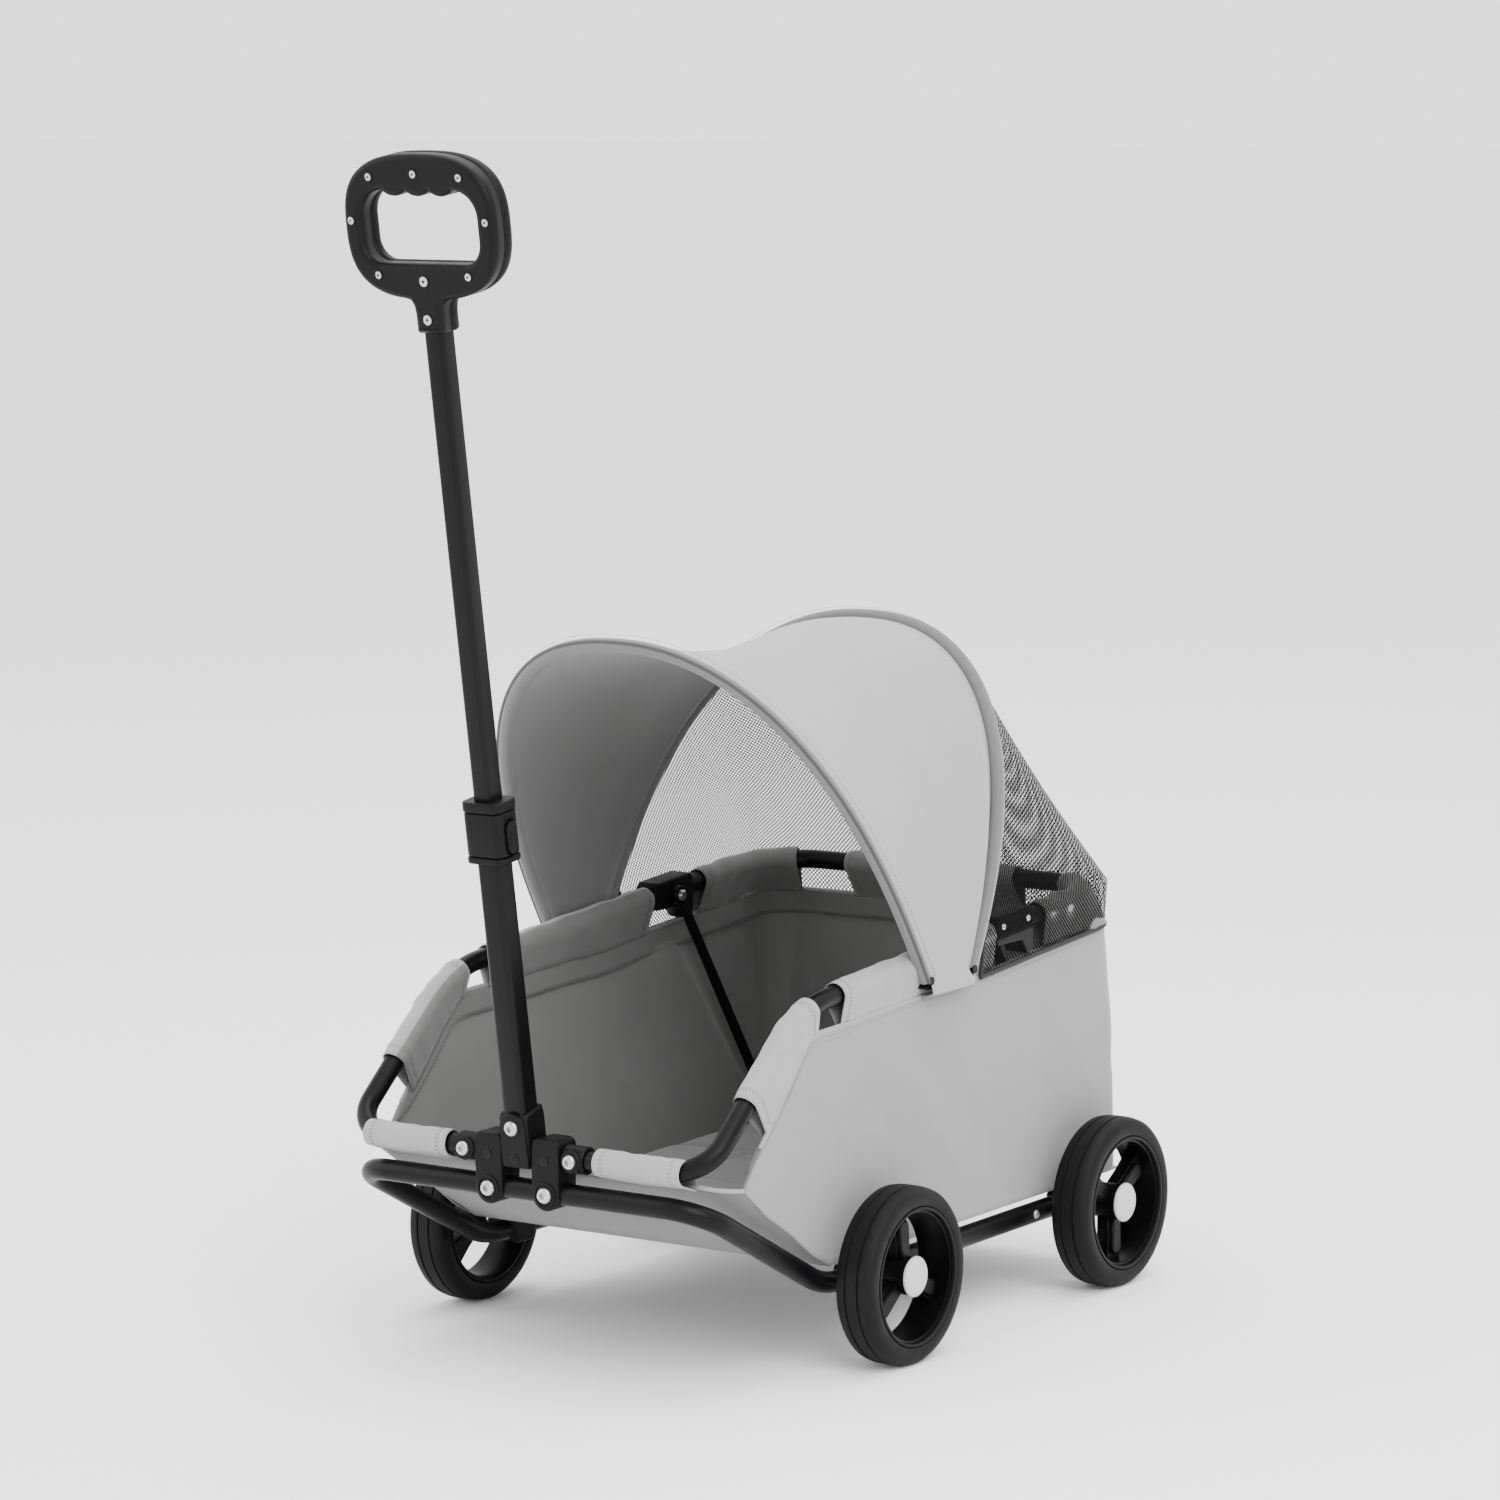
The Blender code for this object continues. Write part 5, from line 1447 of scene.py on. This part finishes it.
    def build_mat(self) -> None:
        """Builds the padded mat: a blown-up cushion with piped edges and two rows of quilting."""
        low, high = corners("floor_mat")
        inset = 7.0
        x0, x1 = low[0] + inset, high[0] - inset
        y0, y1 = low[1] + inset, high[1] - inset
        ring = fillet_flat([(x0, y0), (x1, y0), (x1, y1), (x0, y1)], 16.0)
        mat = plate("floor_pad", [ring], (low[2] + 4.0, high[2] - 4.5), "Z", LINING_WEAVE, 6.0)
        remesh = mat.modifiers.new("voxels", "REMESH")
        remesh.mode = "VOXEL"
        remesh.voxel_size = 5.0 * MM
        baked(mat)
        rest = np.array([v.co for v in mat.data.vertices])
        self.inflate(mat)
        moved = np.array([v.co for v in mat.data.vertices])
        step = moved - rest
        reach = np.linalg.norm(step, axis=1, keepdims=True)
        moved = rest + step * np.minimum(1.0, 6.0 * MM / np.maximum(reach, 1e-9))
        self.quilt(moved, low, high)
        mat.data.vertices.foreach_set("co", moved.ravel())
        smooth = mat.modifiers.new("smooth", "SUBSURF")
        smooth.levels = smooth.render_levels = 1
        baked(mat)
        mat.data.polygons.foreach_set("use_smooth", np.ones(len(mat.data.polygons), bool))
        mat.data.materials.clear()
        mat.data.materials.append(MAT_WEAVE.material())
        present(mat, Body.CHASSIS, Slot.LINING, "floor_mat")
        middle_z = (low[2] + high[2]) / 2
        ledge = [(x0 - 3.4, y0 - 3.4), (x1 + 3.4, y0 - 3.4), (x1 + 3.4, y1 + 3.4), (x0 - 3.4, y1 + 3.4)]
        rim = fillet_flat(ledge, 19.0)
        path = metres(np.c_[rim, np.full(len(rim), middle_z)])
        piping = sweep("floor_pad_piping", path, 1.9, DARK_WEAVE, closed=True, sides=10)
        present(piping, Body.CHASSIS, Slot.LINING)

    def inflate(self, mat: bpy.types.Object) -> None:
        """Blows the mat up with a short cloth simulation, and applies it."""
        swell = mat.modifiers.new("swell", "CLOTH")
        settings = swell.settings
        settings.quality = 5
        settings.use_pressure = True
        settings.uniform_pressure_force = 4.0
        settings.tension_stiffness = settings.compression_stiffness = 15.0
        settings.bending_stiffness = 2.0
        settings.effector_weights.gravity = 0.0
        swell.point_cache.frame_start, swell.point_cache.frame_end = 1, 20
        for number in range(1, 21):
            bpy.context.scene.frame_set(number)
        baked(mat)
        bpy.context.scene.frame_set(1)

    def quilt(self, points: np.ndarray, low: np.ndarray, high: np.ndarray) -> None:
        """Presses sewn channels into the mat's top, and keeps it inside its room."""
        floor, top = (low[2] + 0.6) * MM, (high[2] - 0.2) * MM
        upper = np.clip((points[:, 2] - (low[2] + high[2]) / 2 * MM) / (8.0 * MM), 0, 1)
        for share in (1 / 3, 2 / 3):
            line = (low[0] + (high[0] - low[0]) * share) * MM
            points[:, 2] -= upper * 5.0 * MM * np.exp(-(((points[:, 0] - line) / (5.0 * MM)) ** 2))
        for share in (0.25, 0.5, 0.75):
            line = (low[1] + (high[1] - low[1]) * share + AXLE_Y) * MM
            points[:, 2] -= upper * 5.0 * MM * np.exp(-(((points[:, 1] - line) / (5.0 * MM)) ** 2))
        points[:, 2] = np.clip(points[:, 2], floor, top)


@dataclass
class Sleeves:
    """Pale cloth sleeves folded over the upper tube and sewn to the basket's rim. Their side towards the basket, and
    the rear sleeves whole, are painted darker as shade.
    """

    tube: float = 9.4
    rows_per_mm: float = 0.3
    seams: Seams = field(default_factory=Seams)

    def build(self) -> None:
        """Builds every sleeve."""
        rim = Basket().rim_path()
        rim[:, 0] -= 2.5 * (rim[:, 1] < 365.0)
        rim[:, 1] -= 2.5 * (rim[:, 0] < 160.0)
        path = upper_path(24)
        stretches = (
            ("slope_sleeve", (-152.0, 0), (-66.0, 0), SLEEVE_WEAVE, ((-133, 193), (-100, 230), (-80, 253), (-68, 262))),
            (
                "rail_sleeve_front",
                (-30.0, 0),
                (188.0, 0),
                SLEEVE_WEAVE,
                ((-30, 266), (81, 271), (126, 271), (188, 277)),
            ),
        )
        for side, sign in (("left", -1), ("right", 1)):
            for name, start, end, finish, seam in stretches:
                tube = self.between(path, (UPPER_X, start[0]), (UPPER_X, end[0]))
                tips = [(UPPER_X + 2.0, y, z) for y, z in seam]
                self.build_sleeve(f"{name}_{side}", tube, tips, sign, finish)
            # The rear sleeves are wholly in the dark colour: painted shade under the canopy and net.
            tube = self.between(path, (UPPER_X, 264.0), (137.0, UPPER_REAR[0]))
            tips = self.between(rim, (WALL_X, 264.0), (137.0, 384.0))
            self.build_sleeve(f"rail_sleeve_rear_{side}", tube, tips, sign, DARK_HEM_AND_PAINTED_SLEEVE_SHADE)
            front = np.array([(150.0, *HINGE), (110.0, *HINGE), (70.0, *HINGE)])
            tips = [(150, -190, 166), (110, -190, 166), (70, -190, 166)]
            self.build_sleeve(f"front_sleeve_{side}", front, tips, sign, SLEEVE_WEAVE)
        rear = np.array([(x, *UPPER_REAR) for x in np.linspace(84, -84, 9)])
        self.build_sleeve("rear_sleeve", rear, [(84, 382, 291), (-84, 382, 291)], 1, DARK_HEM_AND_PAINTED_SLEEVE_SHADE)

    def between(self, path: np.ndarray, start: Sequence[float], end: Sequence[float]) -> np.ndarray:
        """Gives the stretch of a path between the points nearest to two (x, y) places."""
        fine = resample(path[path[:, 1] > -202.0], 1500)
        ends = [int(np.linalg.norm(fine[:, :2] - place, axis=1).argmin()) for place in (start, end)]
        return fine[min(ends) : max(ends) + 1]

    def build_sleeve(
        self, name: str, centres: np.ndarray, tips: Sequence[Sequence[float]], sign: int, finish: WovenFinish
    ) -> None:
        """Wraps cloth round a stretch of tube and draws it together at the seam.

        Args:
            name: The piece's name.
            centres: Design points along the tube.
            tips: Design points along the seam.
            sign: 1 on the right, -1 on the left.
            finish: Which cloth.
        """
        length = np.linalg.norm(np.diff(centres, axis=0), axis=1).sum()
        rows = max(12, int(length * self.rows_per_mm))
        centre, tip = resample(np.array(centres, float), rows), resample(np.array(tips, float), rows)
        rings = []
        for k in range(rows):
            down = tip[k] - centre[k]
            tangent = np.gradient(centre, axis=0)[k]
            tangent /= np.linalg.norm(tangent)
            down -= tangent * (down @ tangent)
            far = np.linalg.norm(down)
            down /= far
            side = np.cross(tangent, down)
            loose = self.tube + 0.5 * math.sin(5.0 * math.pi * k / rows) ** 2
            wrap = math.acos(min(0.98, loose / far))
            turns = np.linspace(wrap, 2 * math.pi - wrap, 28)
            arc = [centre[k] + loose * (math.cos(t) * down + math.sin(t) * side) for t in turns]
            lips = [centre[k] + down * (far - 0.2) + side * offset for offset in (1.6, -1.6)]
            start = [lips[0] + (arc[0] - lips[0]) * share for share in (0.0, 0.25, 0.5, 0.75)]
            finish_side = [arc[-1] + (lips[1] - arc[-1]) * share for share in (0.25, 0.5, 0.75, 1.0)]
            rings.append([*start, *arc, *finish_side])
        grid = metres(np.array(rings))
        held = np.sin(math.pi * np.linspace(0, 1, rows))[:, None]
        outward = normals_of(grid)
        middle_line = metres(centre)[:, None]
        if ((grid - middle_line) * outward).sum() < 0:
            grid = grid[::-1]
            outward = normals_of(grid)
        grid = grid + outward * (0.55 * ripple(grid, 0.022, len(name)) * held * MM)[..., None]
        grid = sided(grid, sign)
        piece = self.two_toned(name, grid, finish)
        present(piece, Body.UPPER, Slot.CANOPY if finish is SLEEVE_WEAVE else Slot.LINING)
        lift = normals_of(grid) * 1.0 * MM
        for row, inner in ((2, 3), (-3, -4)):
            self.seams.add((grid + lift)[row], ((grid + lift)[row] + (grid + lift)[inner]) / 2)

    def two_toned(self, name: str, grid: np.ndarray, finish: WovenFinish) -> bpy.types.Object:
        """Skins a sleeve whose side towards the basket is painted darker, as the shade inside the basket."""
        piece = surface(name, grid, finish)
        # Second material: painted shade on the side towards the basket.
        piece.data.materials.append(DARK_HEM_AND_PAINTED_SLEEVE_SHADE.material())
        normal = normals_of(grid).mean(axis=0)
        centre = grid.mean(axis=(0, 1)) - metres(np.array([0.0, 90.0, 0.0]))
        inward = (normal[:, :2] @ centre[:2]) < -0.05
        cols = grid.shape[1] - 1
        index = [int(inward[k % cols] or inward[k % cols + 1]) for k in range(len(piece.data.polygons))]
        piece.data.polygons.foreach_set("material_index", index)
        wall = piece.modifiers.new("thickness", "SOLIDIFY")
        wall.thickness = 0.9 * MM
        wall.offset = 1.0
        return baked(piece)


@dataclass
class Canopy:
    """One curved sheet over both bows, its dark lining, and the bindings along the bows."""

    rows: int = 40
    cols: int = 150
    outside: float = 4.7
    sag: float = 20.0
    tuck: float = 7.7
    front_seams: Seams = field(default_factory=Seams)
    rear_seams: Seams = field(default_factory=Seams)

    def arch_grid(self, grow: Callable[[float], float]) -> tuple[np.ndarray, np.ndarray]:
        """Gives the sheet as rows from the rear bow to the front one, with each point's share of the way.

        Args:
            grow: How far outside the bows' centre lines the sheet lies, by its share of the way.
        """
        shares = np.linspace(0, 1, self.rows)
        rows = []
        ahead = np.array([0.0, -math.cos(REAR_BOW[2]), math.sin(REAR_BOW[2])])
        for share in shares:
            rear = bow_arch(REAR_BOW, grow(share), self.cols) + ahead * 5.5 * math.exp(-((share / 0.06) ** 2))
            front = bow_arch(FRONT_BOW, grow(share), self.cols)
            rows.append(rear * (1 - share) + front * share)
        grid = metres(np.array(rows))
        rise = np.sin(math.pi * np.linspace(0, 1, self.cols))[None] ** 0.6
        dip = self.sag * np.sin(math.pi * shares)[:, None] * rise * (0.3 + 0.7 * rise**3)
        wave = 0.9 * ripple(grid, 0.13, 41) * np.sin(math.pi * shares)[:, None]
        grid = grid - normals_of(grid) * ((dip + wave) * MM)[..., None]
        return grid, np.repeat(shares[:, None], self.cols, axis=1)

    def build(self) -> None:
        """Builds the sheet with its feet, its lining and its bindings."""
        outer, share = self.arch_grid(lambda s: self.outside - self.tuck * math.exp(-((s / 0.05) ** 2)))
        outer, share = self.with_feet(outer, share)
        sheet = bent_cloth("canopy_sheet", outer, CANOPY_WEAVE, self.travel(outer, share), 0.9, inward=True)
        bent(sheet, Body.CANOPY, Body.UPPER, Slot.CANOPY, "canopy_cover")
        inner, share = self.arch_grid(lambda s: 2.4 - 7.0 * abs(2 * s - 1) ** 5)
        lining = bent_cloth(
            "canopy_lining", inner[:, ::-1], CANOPY_LINING_WEAVE, self.travel(inner, share)[:, ::-1], 0.7
        )
        bent(lining, Body.CANOPY, Body.UPPER, Slot.LINING)
        self.build_bindings()

    def travel(self, grid: np.ndarray, share: np.ndarray) -> np.ndarray:
        """Gives how far each point follows the upper frame and not the front bow."""
        height = grid[..., 2] / MM
        free = np.clip((height - 276.0) / 26.0, 0, 1)
        return 1.0 - share * free * free * (3 - 2 * free)

    def with_feet(self, grid: np.ndarray, share: np.ndarray) -> tuple[np.ndarray, np.ndarray]:
        """Adds the narrowing feet that hide the bow channels and end in the basket's rim."""
        levels = ((188.2, 279.5, 142.0, 79.0), (187.6, 275.5, 139.0, 80.0), (181.0, 272.4, 132.0, 82.0))
        columns = []
        for x, z, rear, front in (*levels, (175.2, 271.0, 127.0, 82.0)):
            y = np.linspace(rear, front, self.rows)
            columns.append(metres(np.stack([np.full(self.rows, x), y, np.full(self.rows, z)], 1)))
        right = np.stack(columns[::-1], 1)
        left = (right * np.array([-1.0, 1.0, 1.0]))[:, ::-1]
        joined_grid = np.concatenate([right, grid, left], 1)
        edge = share[:, :1]
        return joined_grid, np.concatenate([np.repeat(edge, 4, 1), share, np.repeat(edge, 4, 1)], 1)

    def build_bindings(self) -> None:
        """Builds the cloth tubes round both bows and the piping behind the rear one."""
        front = metres(bow_arch(FRONT_BOW, 0.0, 170))
        rear = metres(bow_arch(REAR_BOW, 0.0, 170))
        sleeve = sweep("front_bow_sleeve", front, 5.3, CANOPY_LINING_WEAVE, sides=18)
        present(sleeve, Body.CANOPY, Slot.LINING)
        nose = np.array([0.0, -math.cos(FRONT_BOW[2]), math.sin(FRONT_BOW[2])]) * 2.6 * MM
        edge = sweep("front_bow_piping", metres(bow_arch(FRONT_BOW, 4.6, 170)) + nose, 1.5, DARK_BINDING, sides=10)
        present(edge, Body.CANOPY, Slot.LINING)
        band = sweep("rear_bow_sleeve", rear, 5.9, BINDING_TAPE, sides=18)
        present(band, Body.UPPER, Slot.LINING)
        back = np.array([0.0, math.cos(REAR_BOW[2]), -math.sin(REAR_BOW[2])]) * 5.6 * MM
        lift = metres(bow_arch(REAR_BOW, 2.2, 170)) + back
        piping = sweep("rear_bow_piping", lift, 1.7, PALE_TAPE, sides=10)
        present(piping, Body.UPPER, Slot.CANOPY)
        ahead = np.array([0.0, math.cos(FRONT_BOW[2]), -math.sin(FRONT_BOW[2])]) * MM
        self.front_seams.add(metres(bow_arch(FRONT_BOW, self.outside + 0.2, 260)) + ahead * 7.0)
        self.rear_seams.add(metres(bow_arch(REAR_BOW, self.outside + 0.2, 260)) - back * 1.4)


@dataclass
class Net:
    """See-through net from the rear bow down to the basket's rim, round the back."""

    cell: float = 3.9
    hole: float = 0.62
    start: float = 168.0
    corner: float = 36.0
    foot_half: float = 175.6
    ridge_half: float = 179.5

    def rim(self, half: float, rear: float, drop: float, count: int) -> np.ndarray:
        """Gives evenly spaced design points round the back, from the right side to the left.

        Args:
            half: Half width.
            rear: Depth of its back.
            drop: Height above the side rail's centre line.
            count: Number of points.
        """
        side = [(half, self.start), (half, rear - self.corner)]
        turn = np.linspace(0, math.pi / 2, 12)[1:]
        r = self.corner
        bend = [(half - r + r * math.cos(t), rear - r + r * math.sin(t)) for t in turn]
        plan = np.array([*side, *bend, (0.0, rear)])
        plan = np.vstack([plan, plan[-2::-1] * np.array([-1.0, 1.0])])
        height = np.array([rail_height(min(y, 372.0)) + drop for _, y in plan])
        return resample(np.c_[plan, height], count)

    def build(self, tool: NodeTool) -> None:
        """Builds the net in four pieces, with its lower binding.

        Args:
            tool: The tree that opens the holes.
        """
        step = self.cell / 2
        count = int(760.0 / step)
        foot = self.rim(self.foot_half, 385.6, -30.0, count)
        ridge = self.rim(self.ridge_half, 384.0, 7.0, count)
        arch = bow_arch(REAR_BOW, 2.5, 4001)
        reach = np.linspace(0.055, 0.945, count)
        bow = arch[(reach * 4000).astype(int)] + np.array([0.0, 4.0, -2.0])
        lower = np.linalg.norm(ridge - foot, axis=1)
        upper = np.linalg.norm(bow - ridge, axis=1)
        cuts = [0, count // 4, count // 2, 3 * count // 4, count]
        for k, (first, last) in enumerate(zip(cuts, cuts[1:])):
            self.build_part(f"net_panel_{k}", tool, foot, ridge, bow, lower, upper, first, last)
        binding = sweep("net_lower_binding", metres(foot + np.array([0.0, 0.0, 0.5])), 2.0, BLACK_TAPE, sides=10)
        present(binding, Body.UPPER, Slot.NET)
        ends = np.array([foot[0], ridge[0], bow[0]])
        for side, sign in (("right", 1), ("left", -1)):
            path = metres(resample(ends * np.array([sign, 1, 1]), 24))
            present(sweep(f"net_end_binding_{side}", path, 1.8, BLACK_TAPE, sides=10), Body.UPPER, Slot.NET)

    def build_part(
        self,
        name: str,
        tool: NodeTool,
        foot: np.ndarray,
        ridge: np.ndarray,
        bow: np.ndarray,
        lower: np.ndarray,
        upper: np.ndarray,
        first: int,
        last: int,
    ) -> None:
        """Builds the net between two of its columns."""
        step = self.cell / 2
        places: dict[tuple[int, int], int] = {}
        points: list[np.ndarray] = []

        def corner(i: int, j: int) -> int:
            """Gives the index of a lattice point, made when it is first asked for."""
            if (i, j) not in places:
                run = j * step
                if run <= lower[i]:
                    share = run / lower[i]
                    point = foot[i] * (1 - share) + ridge[i] * share
                else:
                    share = min((run - lower[i]) / max(upper[i], 1e-6), 1.0)
                    slack = 3.0 * math.sin(math.pi * share) * min(1.0, upper[i] / 150.0)
                    point = ridge[i] * (1 - share) + bow[i] * share - np.array([0.0, 0.3, 1.0]) * slack
                places[i, j] = len(points)
                points.append(point)
            return places[i, j]

        faces = []
        for i in range(max(first, 1), min(last, len(foot) - 1)):
            tall = int((lower[i] + upper[i]) / step)
            for j in range(1 + (i % 2), tall, 2):
                faces.append((corner(i, j - 1), corner(i + 1, j), corner(i, j + 1), corner(i - 1, j)))
        mesh = bpy.data.meshes.new(name)
        mesh.from_pydata(metres(np.array(points)).tolist(), [], faces)
        holder = bpy.data.objects.new(name, mesh)
        bpy.context.scene.collection.objects.link(holder)
        made = tool.run(name, holder, {"Hole": self.hole, "Material": NET_YARN.material()})
        present(finish_mesh_in_place(made), Body.UPPER, Slot.NET, *(["mesh_screen"] if name.endswith("0") else []))


# ---------------------------------------------------------------- stage


@dataclass
class Stage:
    """Pale floor, soft lights and the camera."""

    target: tuple[float, float, float] = (70.5, 0.0, 470.7)
    distance: float = 4342.0
    azimuth: float = 34.7
    elevation: float = 7.69
    roll: float = -0.61
    lens: float = 133.8

    def build(self) -> None:
        """Builds the stage."""
        self.build_floor()
        self.build_lights()
        self.build_camera()

    def build_floor(self) -> None:
        """Builds the floor."""
        mesh = bpy.data.meshes.new("floor")
        half = 30.0
        mesh.from_pydata([(-half, -half, 0), (half, -half, 0), (half, half, 0), (-half, half, 0)], [], [(0, 1, 2, 3)])
        floor = bpy.data.objects.new("floor", mesh)
        mesh.materials.append(HardFinish("pale_floor", (0.93, 0.93, 0.93), 0.85, grain=3.0, swing=0.0).material())
        bpy.context.scene.collection.objects.link(floor)

    def build_lights(self) -> None:
        """Builds a white sky and three soft lamps."""
        world = bpy.data.worlds.new("studio")
        world.use_nodes = True
        world.node_tree.nodes["Background"].inputs["Color"].default_value = (1.0, 1.0, 1.0, 1.0)
        world.node_tree.nodes["Background"].inputs["Strength"].default_value = 2.1
        bpy.context.scene.world = world
        lamps = (
            ("key", (2.4, -1.6, 2.6), 2.2, 120.0),
            ("fill", (-2.6, -1.8, 1.8), 2.4, 36.0),
            ("top", (0.2, 0.6, 3.2), 2.6, 80.0),
        )
        for name, place, size, power in lamps:
            light = bpy.data.lights.new(name, "AREA")
            light.size, light.energy = size, power
            lamp = bpy.data.objects.new(name, light)
            lamp.location = place
            lamp.rotation_euler = (Vector((0, 0, 0.35)) - Vector(place)).to_track_quat("-Z", "Y").to_euler()
            bpy.context.scene.collection.objects.link(lamp)

    def build_camera(self) -> None:
        """Builds the camera at the angle the stroller is shown from."""
        turn, tilt = math.radians(self.azimuth), math.radians(self.elevation)
        out = Vector((math.sin(turn) * math.cos(tilt), -math.cos(turn) * math.cos(tilt), math.sin(tilt)))
        camera = bpy.data.cameras.new("camera")
        camera.lens = self.lens
        camera.sensor_width = 36.0
        holder = bpy.data.objects.new("camera", camera)
        aim = Vector(at(*self.target))
        holder.location = aim + out * self.distance * MM
        look = (-out).to_track_quat("-Z", "Y") @ Matrix.Rotation(math.radians(self.roll), 3, "Z").to_quaternion()
        holder.rotation_euler = look.to_euler()
        bpy.context.scene.collection.objects.link(holder)
        bpy.context.scene.camera = holder


def main() -> None:
    """Builds the stroller piece by piece."""
    logging.basicConfig(level=logging.INFO, format="%(name)s: %(message)s")
    Stage().build()
    Wheels().build()
    LowerFrame().build()
    UpperFrame().build()
    Hub().build()
    PullHandle().build()
    basket, sleeves, canopy = Basket(), Sleeves(), Canopy()
    basket.build()
    sleeves.build()
    canopy.build()
    Net().build(net_tool())
    stitches = stitch_tool()
    rows = (
        ("basket_stitches", basket.stitches, SEAM_THREAD, Body.UPPER, Slot.BASKET),
        ("lining_stitches", basket.lining_stitches, FAINT_THREAD, Body.UPPER, Slot.LINING),
        ("sleeve_stitches", sleeves.seams, SEAM_THREAD, Body.UPPER, Slot.CANOPY),
        ("canopy_front_stitches", canopy.front_seams, SEAM_THREAD, Body.CANOPY, Slot.CANOPY),
        ("canopy_rear_stitches", canopy.rear_seams, SEAM_THREAD, Body.UPPER, Slot.CANOPY),
    )
    for name, seams, finish, body, slot in rows:
        present(seams.lay(name, stitches, finish), body, slot)
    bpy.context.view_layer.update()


if __name__ == "__main__":
    main()
